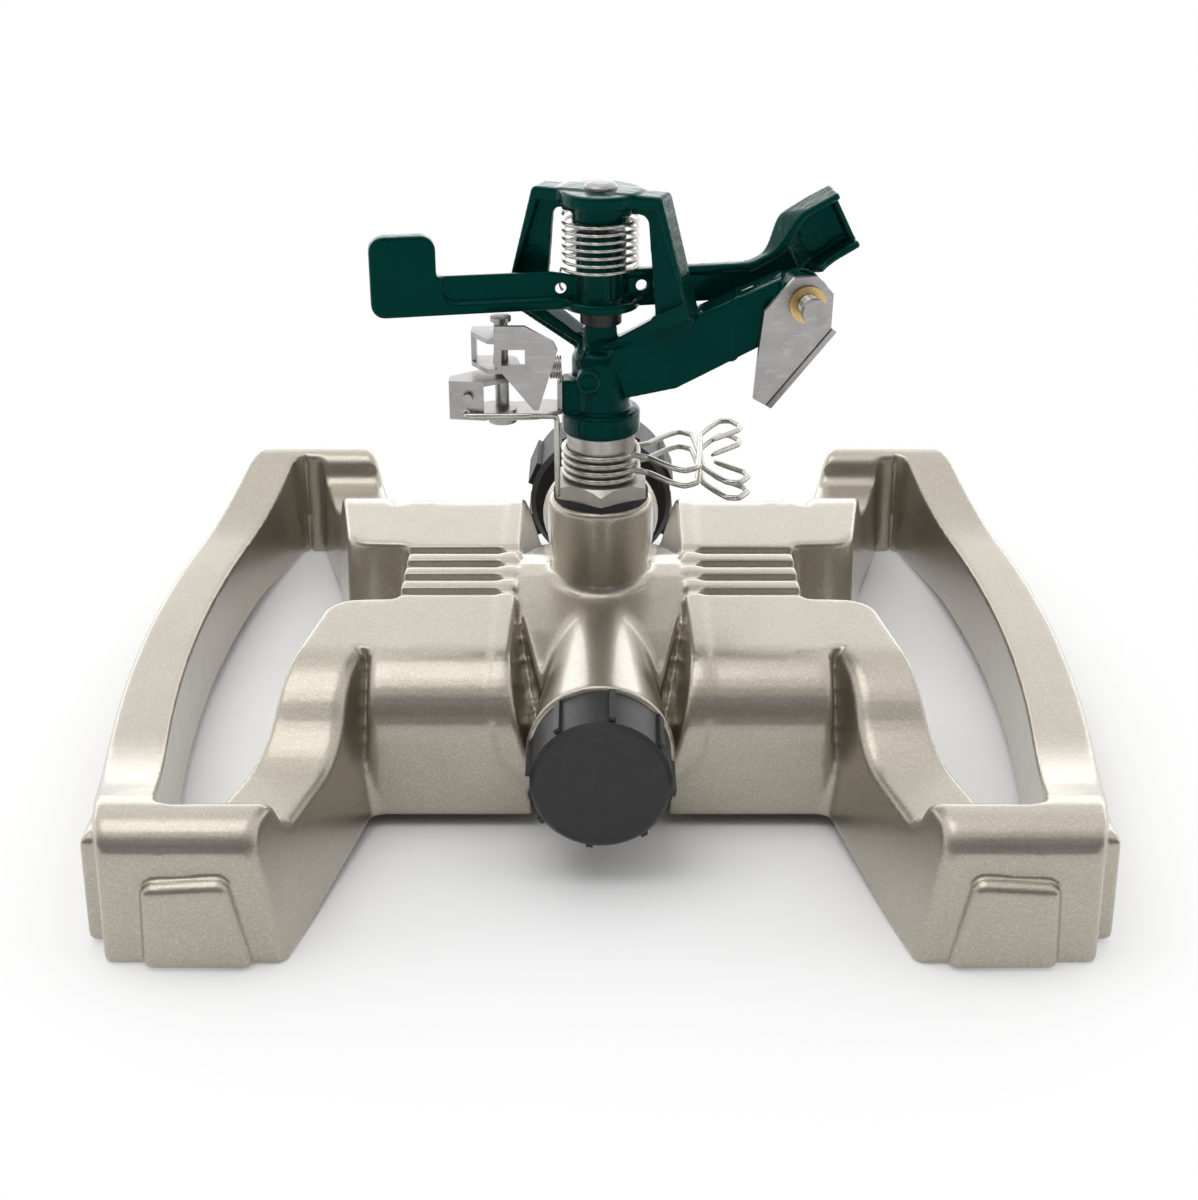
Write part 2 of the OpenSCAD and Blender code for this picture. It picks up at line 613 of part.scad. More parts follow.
// Pin, bush and spring of the arm
beam_top = arm_z + 9.2;
module arm_bush() color(black) ring(neck_z, arm_z - neck_z - seat_gap, 5.2, pin_r);
module arm_pin() color(steel) {
    translate([0, 0, neck_z - 6]) cylinder(h = bridge_z - neck_z + 6, r = pin_r);
    translate([0, 0, bridge_z]) rotate_extrude()
        polygon([[0, 0], [4.05, 0], [4.05, 0.8], [3.6, 1.4], [2.4, 1.7], [0, 1.8]]);
}
spring_low_z = beam_top + spring_wire / 2 + 0.25;
spring_high_z = bridge_z - 5.2 - spring_wire / 2 - 0.25;
hook_u = 9.9;
hook_z = arm_z + 5;
module arm_spring() color(steel) rotate([0, 0, arm_turn]) {
    steps = 18;
    coil_r = spring_r - spring_wire / 2;
    total = spring_turns * steps;
    coil = [for (i = [0 : total])
        [coil_r * cos(180 + 360 * i / steps), coil_r * sin(180 + 360 * i / steps),
         spring_low_z + (spring_high_z - spring_low_z) * i / total]];
    hook = [[-hook_u, -2.2, hook_z], [-hook_u, 2.2, hook_z], [-hook_u - 0.3, 2.9, hook_z + 2],
            [-coil_r - 0.2, 2.7, spring_low_z - 0.6]];
    wire(concat(hook, coil), spring_wire / 2, [0.05, 0.1, 1], 6);
}

// Drive arm: hub, beam, counterweight paddle and spoon
beam_end = 38;
spoon_rise = 27;
spoon_end = 26.2;
spoon_low = -9.8;
spoon_back = [[9.6, -0.4], [10.8, 1.6], [14, 3.7], [20, 5], [spoon_end, 4.8]];
function spoon_back_inside() = [for (p = spoon_back) [p[0] + 0.3, p[1] - 1.5]];
// Side view of the spoon's top as it climbs from the beam, as [s, w]
function spoon_climb(start, run) = [[-1.5, -1.9], [0, 0], [start, 0.4], [start + run * 0.5, 3.4], [start + run, 6],
    [spoon_end, 6.4], [spoon_end, 4.6], [start + run + 1.2, 4.2], [start + run * 0.5 + 1, 1.6], [start, -1.6]];
module spoon() translate([beam_end, 0, beam_top + 0.5]) rotate([0, -spoon_rise, 0]) {
    translate([0, 0, spoon_low]) linear_extrude(6.2 - spoon_low)
        polygon(concat(spoon_back, [for (i = [len(spoon_back) - 1 : -1 : 0]) spoon_back_inside()[i]]));
    intersection() {
        union() {
            along_y(0.6, 5.4) polygon(spoon_climb(3.4, 6.4));
            along_y(-1.8, 0.7) polygon(spoon_climb(4.6, 8));
            along_y(-4.8, -1.7) polygon(spoon_climb(6, 9.6));
        }
        translate([0, 0, -4]) linear_extrude(12)
            polygon([[-1.5, -2.2], [5, -2.4], [11, -3.4], [17, -4.4], [spoon_end, -4.6], [spoon_end, 4.8], [20, 5],
                     [14, 3.7], [10.8, 2.8], [5, 2.4], [-1.5, 2.2]]);
    }
    translate([0, 0, spoon_low]) linear_extrude(1.8)
        polygon([[12.6, 2.6], [13.4, -2.4], [14.6, -5], [16.4, -3.4], [19, -2.3], [spoon_end, -1.9], [spoon_end, 4.8],
                 [20, 5], [14, 3.7]]);
    translate([0, 0, spoon_low]) linear_extrude(6.2 - spoon_low)
        polygon([[spoon_end - 1.6, 4], [spoon_end, 4], [spoon_end, 1.4], [spoon_end - 0.9, 1.4]]);
    along_y(-2.4, -1) polygon([[-5, -3], [-1, 0], [5, 0.4], [9.4, 1.6], [9, -8.2], [-5, -9]]);
}
module arm_beam(u0, u1, top0, top1, flange)
    polygon([[u0, arm_z], [u1, arm_z], [u1, top1], [u0, top0]]);
module drive_arm() color(green) rotate([0, 0, arm_turn]) difference() {
    union() {
        translate([0, 0, arm_z]) cylinder(h = bridge_z - 8.4 - 1.4 - arm_z, r = hub_r);
        translate([0, 0, arm_z]) cylinder(h = 2.8, r = 9.9);
        along_y(-1.2, 1.2) arm_beam(-paddle_reach + paddle_w - 1, -4, beam_top, beam_top);
        along_y(-3.2, 3.2) polygon([[-paddle_reach + 4, arm_z - 1], [-6, arm_z], [-6, arm_z + 1.8],
                                    [-paddle_reach + 4, arm_z + 0.8]]);
        along_y(-1.8, 1.8) polygon([[-paddle_reach + paddle_w - 1, beam_top - 1.2], [-8, beam_top - 1.2],
                                    [-8, beam_top], [-paddle_reach + paddle_w - 1, beam_top]]);
        along_y(-2.2, 2.2) polygon(outline([
            [-paddle_reach, arm_z - 0.4, 3.4], [-paddle_reach + paddle_w, arm_z - 0.4, 0],
            [-paddle_reach + paddle_w, arm_z + paddle_h - 0.4, 3.4],
            [-paddle_reach, arm_z + paddle_h - 0.4, 3.4]]));
        along_y(-1.2, 1.2) arm_beam(4, beam_end + 3, beam_top - 1, beam_top + 0.6);
        along_y(-2.2, 2.2) polygon([[8, beam_top - 2.2], [beam_end + 3, beam_top - 0.8],
                                    [beam_end + 3, beam_top + 0.6], [8, beam_top - 0.8]]);
        along_y(-2.4, 2.4) arm_beam(4, 12, arm_z + 1.6, arm_z + 1.6);
        spoon();
    }
    translate([0, 0, arm_z - 1]) cylinder(h = 40, r = pin_r + running_gap);
    for (side = [-1, 1]) translate([side * hook_u, 4, hook_z]) rotate([90, 0, 0]) cylinder(h = 8, r = 1.1);
}

// Deflector: plate with a bent lip, screw, spring and washer, all square to the nozzle barrel
module at_deflector() rotate([0, 0, nozzle_turn]) translate([deflector_x, -nozzle_w / 2, deflector_z])
    rotate([90, 0, deflector_turn - nozzle_turn]) children();
plate_gap = seat_gap;
screw_depth = 3.5;
module deflector_plate() color(steel) at_deflector() translate([0, 0, plate_gap]) {
    difference() {
        linear_extrude(sheet_t) polygon([[-3.4, 6.6], [2.4, 6.8], [6.6, 2.2], [6.4, -6.4], [-9.6, -25.4],
                                         [-12.6, -23.6], [-11.6, -10.4], [-10.6, -1.4]]);
        translate([0, 0, -1]) cylinder(h = 4, r = screw_r + running_gap);
    }
    translate([6.4, -6.4, 0]) rotate([0, 0, -130.1]) rotate([-38, 0, 0])
        translate([0, -0.2, 0]) cube([24.8, 2.6, sheet_t]);
}
washer_y = plate_gap + sheet_t + 0.1;
module deflector_washer() color("#c9a24a") at_deflector() difference() {
    translate([0, 0, washer_y]) cylinder(h = 0.9, r = 4.6);
    cylinder(h = 20, r = screw_r);
}
screw_head_y = washer_y + 0.9 + 5.4;
module deflector_screw() color(steel) at_deflector() {
    translate([0, 0, -screw_depth]) cylinder(h = screw_head_y + screw_depth, r = screw_r);
    translate([0, 0, screw_head_y]) cylinder(h = 1.8, r = 3.3);
}
module deflector_spring() color(steel) at_deflector() {
    turns = 6;
    steps = 12;
    wire([for (i = [0 : turns * steps])
        [2.65 * cos(360 * i / steps), 2.65 * sin(360 * i / steps),
         washer_y + 1.25 + (screw_head_y - washer_y - 1.6) * i / (turns * steps)]], 0.3, [0.05, 0.1, 1], 6);
}

// Trip mechanism, to the left of the body
at_post = [-post_x, -post_y, 0];
plate_z = skirt_top_z - 3.6;
module trip_bracket() color(steel) difference() {
    union() {
        translate([0, 0, plate_z]) linear_extrude(sheet_t)
            polygon(outline([[-lug_x, -5, 0], [-lug_x, 2, 0], [-14, 3, 2], [-post_x - 4.4, -post_y + 5, 3],
                             [-post_x - 4.4, -post_y - 4.4, 3], [-16, -post_y - 3.4, 3]], 4));
        translate([-lug_x - sheet_t, -5, plate_z]) cube([sheet_t, 7, 9]);
    }
    translate(at_post) cylinder(h = big, r = post_r);
}
post_top_z = arm_z - 2;
module trip_post() color(steel) translate(at_post) {
    translate([0, 0, plate_z - 1.4]) cylinder(h = 1.4, r = 3.6);
    translate([0, 0, plate_z - tiny]) cylinder(h = post_top_z - plate_z, r = post_r);
    translate([0, 0, post_top_z - tiny]) cylinder(h = 1, r = 2.6);
}
lever_z = plate_z + sheet_t + seat_gap;
lever_h = 10;
module trip_lever() color(steel) difference() {
    union() {
        for (z = [lever_z, lever_z + lever_h - sheet_t]) translate([0, 0, z]) linear_extrude(sheet_t)
            polygon(outline([[-post_x + 3.6, -post_y + 3.6, 3], [-post_x - 3, -post_y + 3.6, 3],
                             [-37.6, -9.4, 1], [-37.6, -13, 0], [-29, -14.2, 0], [-post_x + 3.6, -post_y - 3.6, 3]], 4));
        translate([0, 0, lever_z]) linear_extrude(lever_h)
            polygon([[-37.6, -13], [-29, -14.2], [-29, -14.2 + sheet_t], [-37.6, -13 + sheet_t]]);
        translate([0, 0, lever_z]) linear_extrude(lever_h)
            polygon([[-37.6, -13], [-37.6 + sheet_t, -13], [-37.6 + sheet_t, -9.6], [-37.6, -9.4]]);
    }
    translate(at_post) cylinder(h = big, r = post_r + running_gap);
    translate([-33.4, -20, wire_z]) rotate([-90, 0, 0]) cylinder(h = 15, r = trip_wire_d / 2 + 0.1);
}
module lever_rivet() color(steel) translate([-33, -15.2, lever_z + 6]) rotate([-90, 0, 0])
    cylinder(h = 1.2, r = 1.2);
wire_z = lever_z + 1.7;
trip_foot_z = hex_z + 1.8;
trip_foot = 11;
module trip_wire() color(steel)
    wire(round_path([[-33.4, -13, wire_z], [-33.4, -15.6, wire_z], [-18, -15.4, wire_z], [-trip_foot, -trip_foot, wire_z - 1.6],
                     [-trip_foot, -trip_foot, trip_foot_z]], 1.6), trip_wire_d / 2, [0.3, 0.2, 0.1]);
pawl_z = lever_z + lever_h + 2;
module trip_pawl() color(steel) difference() {
    union() {
        for (z = [pawl_z, pawl_z + 7.6]) translate([0, 0, z]) linear_extrude(sheet_t)
            polygon(outline([[-post_x + 3.4, -post_y + 3.4, 3], [-post_x - 7.4, -post_y + 3.4, 1],
                             [-post_x - 7.4, -post_y - 1, 0], [-post_x - 3, -13.6, 0], [-19, -14, 0]], 4));
        translate([-post_x - 7.4, 0, 0]) along_x(0, sheet_t) polygon([[-post_y - 1, pawl_z], [-post_y + 3.4, pawl_z],
            [-post_y + 3.4, pawl_z + 7.6], [-post_y - 1, pawl_z + 7.6]]);
        along_y(-14.8, -13.6) difference() {
            polygon([[-26.4, pawl_z + 3.1], [-16.6, pawl_z - 9.1], [-15.4, pawl_z - 9.1], [-10.6, pawl_z + 6.3],
                     [-11.6, pawl_z + 8.5], [-18.6, arm_z - 0.9], [-25.8, arm_z - 0.9]]);
            translate([-24.4, pawl_z + 2.5]) square([5.8, 4]);
        }
    }
    translate(at_post) cylinder(h = big, r = post_r + running_gap);
}
trip_spring_z = pawl_z - 0.9;
module trip_spring() color(steel) {
    turns = 4;
    steps = 14;
    wire(concat(
        [[-13.4, -10.8, trip_spring_z + 1.2], [-12.6, -8.4, trip_spring_z - 0.2]],
        [for (i = [0 : turns * steps])
            [-12.6 + 2.6 * i / (turns * steps), -5.4 - 2.8 * cos(360 * i / steps),
             trip_spring_z - 2.8 * sin(360 * i / steps)]],
        [[-10, -7.2, trip_spring_z - 2.4], [-lug_x - 0.6, -5.6, trip_spring_z - 4.4]]), 0.3, [1, 0.05, 0.1], 6);
}

base_casting();
riser_washer();
bearing_sleeve();
inlet_tailpiece();
front_cap();
cap_washer();
hose_coupling();
hose_washer();
collar_stop_upper();
collar_stop_lower();
head_body();
bearing_tube();
thrust_washers();
seal_washer();
dust_seal();
nozzle_insert();
arm_bush();
arm_pin();
arm_spring();
drive_arm();
deflector_plate();
deflector_screw();
deflector_spring();
deflector_washer();
trip_bracket();
trip_post();
trip_pawl();
trip_lever();
lever_rivet();
trip_wire();
trip_spring();
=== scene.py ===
"""Looks, light and camera for an impact sprinkler on a cast sled base. Metres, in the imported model's frame.

Three castings, the base, the head and the drive arm, are made here with cast fillets and replace their
solids. They are drawn in millimetres. Every other part keeps its solid.
"""

import json
import math

import bpy
import numpy as np
from mathutils import Matrix, Vector


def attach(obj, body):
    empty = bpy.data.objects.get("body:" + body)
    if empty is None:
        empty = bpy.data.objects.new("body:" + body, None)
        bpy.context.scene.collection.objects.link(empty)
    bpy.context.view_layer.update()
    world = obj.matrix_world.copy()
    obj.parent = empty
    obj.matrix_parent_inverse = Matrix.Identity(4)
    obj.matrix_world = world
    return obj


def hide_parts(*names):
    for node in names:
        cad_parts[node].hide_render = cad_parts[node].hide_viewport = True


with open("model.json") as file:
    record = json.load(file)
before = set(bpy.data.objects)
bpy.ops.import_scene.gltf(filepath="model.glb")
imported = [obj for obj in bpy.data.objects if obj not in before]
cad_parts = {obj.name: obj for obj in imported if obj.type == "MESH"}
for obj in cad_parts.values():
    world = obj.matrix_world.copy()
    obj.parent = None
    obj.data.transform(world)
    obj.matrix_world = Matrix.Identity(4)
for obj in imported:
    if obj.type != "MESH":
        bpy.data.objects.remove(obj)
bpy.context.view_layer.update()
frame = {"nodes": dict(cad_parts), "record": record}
nodes = frame["nodes"]
MM = 0.001


# Shader nodes

def grey(value):
    return (value, value, value)


class Signal:
    """A socket's value in a material, with arithmetic that adds Math nodes."""

    def __init__(self, sheet, socket):
        self.sheet = sheet
        self.socket = socket

    def _math(self, operation, first, second):
        return self.sheet.node("ShaderNodeMath", {"operation": operation}, {0: first, 1: second})

    def __add__(self, other):
        return self._math("ADD", self, other)

    def __radd__(self, other):
        return self._math("ADD", other, self)

    def __sub__(self, other):
        return self._math("SUBTRACT", self, other)

    def __rsub__(self, other):
        return self._math("SUBTRACT", other, self)

    def __mul__(self, other):
        return self._math("MULTIPLY", self, other)

    def __rmul__(self, other):
        return self._math("MULTIPLY", other, self)

    def __truediv__(self, other):
        return self._math("DIVIDE", self, other)

    def __rtruediv__(self, other):
        return self._math("DIVIDE", other, self)

    def __gt__(self, other):
        return self._math("GREATER_THAN", self, other)

    def __lt__(self, other):
        return self._math("LESS_THAN", self, other)


class Sheet:
    """The node tree of a material or of the world; place is its coordinates."""

    def __init__(self, owner, coordinates="Object"):
        owner.use_nodes = True
        self.owner = owner
        self.tree = owner.node_tree
        self.shader = self.tree.nodes.get("Principled BSDF")
        self.place = self.node("ShaderNodeTexCoord", {}, {}, coordinates)

    def node(self, kind, settings, inputs, output=0):
        """A new node, with its settings and then its sockets set, as the signal of one of its outputs."""
        made = self.tree.nodes.new(kind)
        for key, value in settings.items():
            if key == "stops":
                self._set_stops(made.color_ramp, value)
            else:
                setattr(made, key, value)
        for key, value in inputs.items():
            self.feed(made.inputs[key], value)
        return Signal(self, made.outputs[output])

    @staticmethod
    def _set_stops(ramp, stops):
        while len(ramp.elements) < len(stops):
            ramp.elements.new(0.5)
        for element, (position, colour) in zip(ramp.elements, stops):
            element.position = position
            element.color = (*colour, 1)

    def feed(self, socket, value):
        """Links a signal to a socket, or sets the socket to a number, a vector or a colour."""
        if isinstance(value, Signal):
            self.tree.links.new(value.socket, socket)
        elif isinstance(value, tuple) and socket.type == "RGBA":
            socket.default_value = (*value, 1)
        else:
            socket.default_value = value

    def noise(self, size, detail, roughness, place=None):
        """Cloudy noise whose lumps are about size metres across."""
        inputs = {"Vector": place or self.place, "Scale": 1 / size, "Detail": detail, "Roughness": roughness}
        return self.node("ShaderNodeTexNoise", {}, inputs, "Fac")

    def cells(self, size):
        """Cells about size metres across, each with a value of its own from 0 to 1."""
        colour = self.node("ShaderNodeTexVoronoi", {}, {"Vector": self.place, "Scale": 1 / size}, "Color")
        return self.node("ShaderNodeSeparateColor", {}, {0: colour})

    def stretched(self, x, y, z):
        """The coordinates scaled along each axis."""
        return self.node("ShaderNodeVectorMath", {"operation": "MULTIPLY"}, {0: self.place, 1: (x, y, z)})

    def ramp(self, value, *stops):
        return self.node("ShaderNodeValToRGB", {"stops": stops}, {"Fac": value})

    def fade(self, value, low, high):
        """0 where value is under low, 1 where it is over high, and a straight ramp between them."""
        return self.ramp(value, (low, grey(0)), (high, grey(1)))

    def mix(self, share, first, second):
        return self.node("ShaderNodeMix", {"data_type": "RGBA"}, {0: share, 6: first, 7: second}, 2)

    def bump(self, height, depth, strength, over=None):
        """Bump of depth metres, on top of another bump if one is given."""
        inputs = {"Height": height, "Distance": depth, "Strength": strength}
        if over:
            inputs["Normal"] = over
        return self.node("ShaderNodeBump", {}, inputs)

    def set(self, **sockets):
        """Feeds the main shader's sockets, named with _ for a space, and returns the material."""
        for key, value in sockets.items():
            self.feed(self.shader.inputs[key.replace("_", " ")], value)
        return self.owner


def finish_sheet(name):
    return Sheet(bpy.data.materials.new(name))


# Finishes

def champagne_paint():
    """Cast base: taupe metallic paint with a fine flake and a slight orange peel."""
    paint = finish_sheet("champagne_paint")
    flake = paint.cells(0.32 * MM)
    clouds = paint.fade(paint.noise(26 * MM, 3, 0.6), 0.35, 0.68)
    body = paint.mix(clouds, (0.430, 0.392, 0.322), (0.465, 0.425, 0.354))
    body = paint.mix((flake < 0.22) * 0.24, body, (0.30, 0.27, 0.22))
    body = paint.mix((flake > 0.86) * 0.30, body, (0.66, 0.62, 0.55))
    smudge = paint.noise(7 * MM, 4, 0.6)
    peel = paint.bump(paint.noise(1.6 * MM, 2, 0.5), 0.12 * MM, 0.35)
    return paint.set(Base_Color=body, Metallic=0.85, Roughness=0.27 + smudge * 0.12,
                     Coat_Weight=0.6 + smudge * 0.3, Coat_Roughness=0.12,
                     Normal=paint.bump(flake, 0.03 * MM, 0.35, peel))


def green_enamel():
    """Head and drive arm: glossy dark green enamel over a rough casting, with a painted highlight that makes
    sharp edges paler.
    """
    enamel = finish_sheet("green_enamel")
    body = enamel.mix(enamel.noise(9 * MM, 3, 0.55), (0.0005, 0.023, 0.018), (0.001, 0.033, 0.027))
    # Painted highlight: a paler green on sharp convex edges, found by pointiness, stands in for the light
    # they catch
    edges = enamel.fade(enamel.node("ShaderNodeNewGeometry", {}, {}, "Pointiness"), 0.53, 0.62)
    body = enamel.mix(edges * 0.6, body, (0.030, 0.125, 0.105))
    casting = enamel.bump(enamel.noise(3.2 * MM, 3, 0.5), 0.4 * MM, 0.45)
    peel = enamel.bump(enamel.noise(0.9 * MM, 2, 0.5), 0.08 * MM, 0.35, casting)
    return enamel.set(Base_Color=body, Specular_IOR_Level=0.5, Specular_Tint=(0.03, 0.34, 0.30), Normal=peel,
                      Roughness=0.08 + enamel.noise(5 * MM, 4, 0.6) * 0.12)


def moulded_black():
    """Front cap, hose coupling and arm bush: black moulded plastic with a fine grain and rubbed patches."""
    plastic = finish_sheet("moulded_black")
    worn = plastic.fade(plastic.noise(4 * MM, 5, 0.65), 0.52, 0.78)
    grain = plastic.bump(plastic.noise(0.35 * MM, 2, 0.5), 0.06 * MM, 0.5)
    return plastic.set(Base_Color=plastic.mix(worn * 0.5, (0.013, 0.013, 0.015), (0.032, 0.032, 0.035)),
                       Roughness=0.34 + plastic.noise(2.5 * MM, 4, 0.6) * 0.22, Normal=grain)


def zinc_plate():
    """Bearing sleeve and inlet tailpiece: dull zinc plating with turning marks round a vertical axis."""
    plating = finish_sheet("zinc_plate")
    turning = plating.noise(0.5 * MM, 2, 0.5, plating.stretched(0.05, 0.05, 1.0))
    body = plating.mix(plating.noise(3 * MM, 4, 0.6), (0.36, 0.345, 0.31), (0.60, 0.585, 0.55))
    return plating.set(Base_Color=body, Metallic=0.95, Roughness=0.24 + turning * 0.22,
                       Normal=plating.bump(turning, 0.06 * MM, 0.4))


def stainless_sheet():
    """Arm pin, deflector and trip parts: brushed stainless steel with fine scratches."""
    sheet = finish_sheet("stainless_sheet")
    brushed = sheet.noise(0.22 * MM, 3, 0.6, sheet.stretched(1.0, 1.0, 0.06))
    scratches = sheet.fade(sheet.noise(0.8 * MM, 2, 0.4, sheet.stretched(0.12, 1.0, 1.0)), 0.60, 0.66)
    body = sheet.mix(sheet.noise(5 * MM, 4, 0.6), (0.30, 0.292, 0.284), (0.52, 0.51, 0.50))
    return sheet.set(Base_Color=sheet.mix(scratches * 0.2, body, (0.66, 0.66, 0.65)), Metallic=1.0,
                     Roughness=0.26 + brushed * 0.20, Normal=sheet.bump(brushed, 0.04 * MM, 0.4))


def drawn_wire():
    """Springs, trip wire and collar stops: bright drawn wire."""
    wire = finish_sheet("drawn_wire")
    drawn = wire.noise(0.3 * MM, 2, 0.5)
    body = wire.mix(wire.noise(4 * MM, 3, 0.6), (0.42, 0.40, 0.36), (0.66, 0.65, 0.62))
    return wire.set(Base_Color=body, Metallic=1.0, Roughness=0.20 + drawn * 0.18,
                    Normal=wire.bump(drawn, 0.03 * MM, 0.3))


def turned_brass():
    """Bearing tube and deflector washer: brass with fine marks and a warmer tone in places."""
    brass = finish_sheet("turned_brass")
    marks = brass.noise(0.3 * MM, 2, 0.5)
    body = brass.mix(brass.noise(2 * MM, 3, 0.6), (0.55, 0.37, 0.15), (0.76, 0.57, 0.27))
    return brass.set(Base_Color=body, Metallic=1.0, Roughness=0.22 + marks * 0.2,
                     Normal=brass.bump(marks, 0.04 * MM, 0.3))


def black_rubber():
    """Washers and dust seal: matt black rubber with a little dust."""
    rubber = finish_sheet("black_rubber")
    dust = rubber.noise(1.5 * MM, 4, 0.6)
    return rubber.set(Base_Color=rubber.mix(dust, (0.010, 0.010, 0.011), (0.028, 0.028, 0.028)),
                      Roughness=0.62 + dust * 0.2,
                      Normal=rubber.bump(rubber.noise(0.4 * MM, 2, 0.5), 0.06 * MM, 0.5))


def moulded_white():
    """Thrust washers and nozzle insert: off-white moulded plastic with a fine grain."""
    plastic = finish_sheet("moulded_white")
    body = plastic.mix(plastic.noise(3 * MM, 3, 0.6), (0.62, 0.60, 0.54), (0.72, 0.71, 0.66))
    return plastic.set(Base_Color=body, Roughness=0.38 + plastic.noise(1 * MM, 3, 0.5) * 0.15,
                       Normal=plastic.bump(plastic.noise(0.4 * MM, 2, 0.5), 0.05 * MM, 0.4))


FINISHES = {
    "base_paint": champagne_paint(), "head_enamel": green_enamel(), "black_plastic": moulded_black(),
    "plated_steel": zinc_plate(), "stainless": stainless_sheet(), "spring_wire": drawn_wire(),
    "brass": turned_brass(), "rubber": black_rubber(), "white_plastic": moulded_white(),
}


def dress(obj, slot):
    obj.data.materials.clear()
    obj.data.materials.append(FINISHES[slot])


for part in frame["record"]["subparts"]:
    dress(nodes[part["node"]], part["material_slot"])


def round_wire(obj):
    """A bent wire of few flat faces, rounded by modifiers alone."""
    obj.data.polygons.foreach_set("use_smooth", [True] * len(obj.data.polygons))
    welded = obj.modifiers.new("weld", "WELD")
    welded.merge_threshold = 0.001 * MM
    rounded = obj.modifiers.new("rounding", "SUBSURF")
    rounded.levels = rounded.render_levels = 2


for wire_node in ("arm_spring", "deflector_spring", "trip_wire", "trip_spring",
                  "collar_stop_upper", "collar_stop_lower"):
    round_wire(nodes[wire_node])


# Outlines, in millimetres

CORNER_STEPS, BEND_STEPS, BELOW_GROUND = 6, 8, -12


def rounded_corners(corners):
    """Closed outline from corners (x, y, fillet radius)."""
    path = []
    for i, (x, y, r) in enumerate(corners):
        if not r:
            path.append((x, y))
            continue
        corner = Vector((x, y))
        u = (Vector(corners[i - 1][:2]) - corner).normalized()
        v = (Vector(corners[(i + 1) % len(corners)][:2]) - corner).normalized()
        half = math.acos(max(-1, min(1, u.dot(v)))) / 2
        middle = corner + (u + v).normalized() * (r / math.sin(half))
        first = corner + u * (r / math.tan(half)) - middle
        last = corner + v * (r / math.tan(half)) - middle
        turn = first.angle_signed(last)
        for k in range(CORNER_STEPS + 1):
            spoke = first.copy()
            spoke.rotate(Matrix.Rotation(-turn * k / CORNER_STEPS, 2))
            path.append(tuple(middle + spoke))
    return path


def arc_points(cx, cy, r, start, end, steps):
    """Points on a circle about (cx, cy) between two angles in degrees."""
    angles = [math.radians(start + (end - start) * k / steps) for k in range(steps + 1)]
    return [(cx + r * math.cos(a), cy + r * math.sin(a)) for a in angles]


def bend_angle(z0, z1, r):
    """How far each of two equal arcs of radius r turns to lead from height z0 to height z1."""
    return math.acos(1 - abs(z1 - z0) / (2 * r))


def s_step(y0, z0, z1, r):
    """Two equal arcs that lead from height z0 at y0 to height z1."""
    bend, way = bend_angle(z0, z1, r), math.copysign(1, z1 - z0)
    run = 2 * r * math.sin(bend)
    arc = [(r * math.sin(bend * k / BEND_STEPS), way * r * (1 - math.cos(bend * k / BEND_STEPS)))
           for k in range(BEND_STEPS + 1)]
    return [(y0 + a, z0 + b) for a, b in arc] + [(y0 + run - a, z1 - b) for a, b in reversed(arc[:-1])]


def half_profile(points):
    """Closed profile from a half of it, y rising, that runs down below the ground."""
    right = points + [(points[-1][0], BELOW_GROUND)]
    return right + [(-y, z) for y, z in reversed(right)]


# Castings: a grid of distances to the metal, in millimetres, that is then skinned with a mesh

BASE_STEP, HEAD_STEP, ARM_STEP, BASE_FACES_KEPT, SETTLE_ROUNDS = 0.8, 0.45, 0.42, 0.45, 2


def grid_axis(low, high, step):
    return np.arange(low, high, step, dtype=np.float32)


def spread(xs, ys, zs):
    """Three axes turned into arrays that combine to a grid."""
    return xs[:, None, None], ys[None, :, None], zs[None, None, :]


def flat_distance(outline, u, v):
    """Distance from a closed outline in the plane of u and v, negative inside it."""
    near = np.full(np.broadcast(u, v).shape, 1e9, np.float32)
    inside = np.zeros(near.shape, bool)
    for (ax, ay), (bx, by) in zip(outline, np.roll(outline, -1, 0)):
        ex, ey, wx, wy = bx - ax, by - ay, u - ax, v - ay
        t = np.clip((wx * ex + wy * ey) / max(ex * ex + ey * ey, 1e-9), 0, 1)
        near = np.minimum(near, (wx - ex * t) ** 2 + (wy - ey * t) ** 2)
        if ay != by:
            inside ^= ((ay > v) != (by > v)) & (u < ex * (v - ay) / (by - ay) + ax)
    return np.where(inside, -1, 1) * np.sqrt(near)


def both(a, b, r=0.0):
    """The metal that a and b share; an edge between them is rounded with radius r."""
    if not r:
        return np.maximum(a, b)
    return np.minimum(-r, np.maximum(a, b)) + np.hypot(np.maximum(a + r, 0), np.maximum(b + r, 0))


def joined(a, b, r=0.0):
    """The metal of a and b together, with a fillet of radius r between them."""
    return -both(-a, -b, r)


def carved(a, b, r=0.0):
    """a with b cut away; the edge is rounded with radius r."""
    return both(a, -b, r)


def block(u, v, w, half_u, half_v, half_w, r):
    """Distance from a box about the origin with edges of radius r."""
    du, dv, dw = (np.abs(a) - h + r for a, h in ((u, half_u), (v, half_v), (w, half_w)))
    outside = np.sqrt(np.maximum(du, 0) ** 2 + np.maximum(dv, 0) ** 2 + np.maximum(dw, 0) ** 2)
    return outside + np.minimum(np.maximum(np.maximum(du, dv), dw), 0) - r


def turned(x, y, degrees):
    """Coordinates along and across in a frame turned about the vertical axis."""
    c, s = math.cos(math.radians(degrees)), math.sin(math.radians(degrees))
    return x * c + y * s, y * c - x * s


CELL = [(dx, dy, dz) for dx in (0, 1) for dy in (0, 1) for dz in (0, 1)]


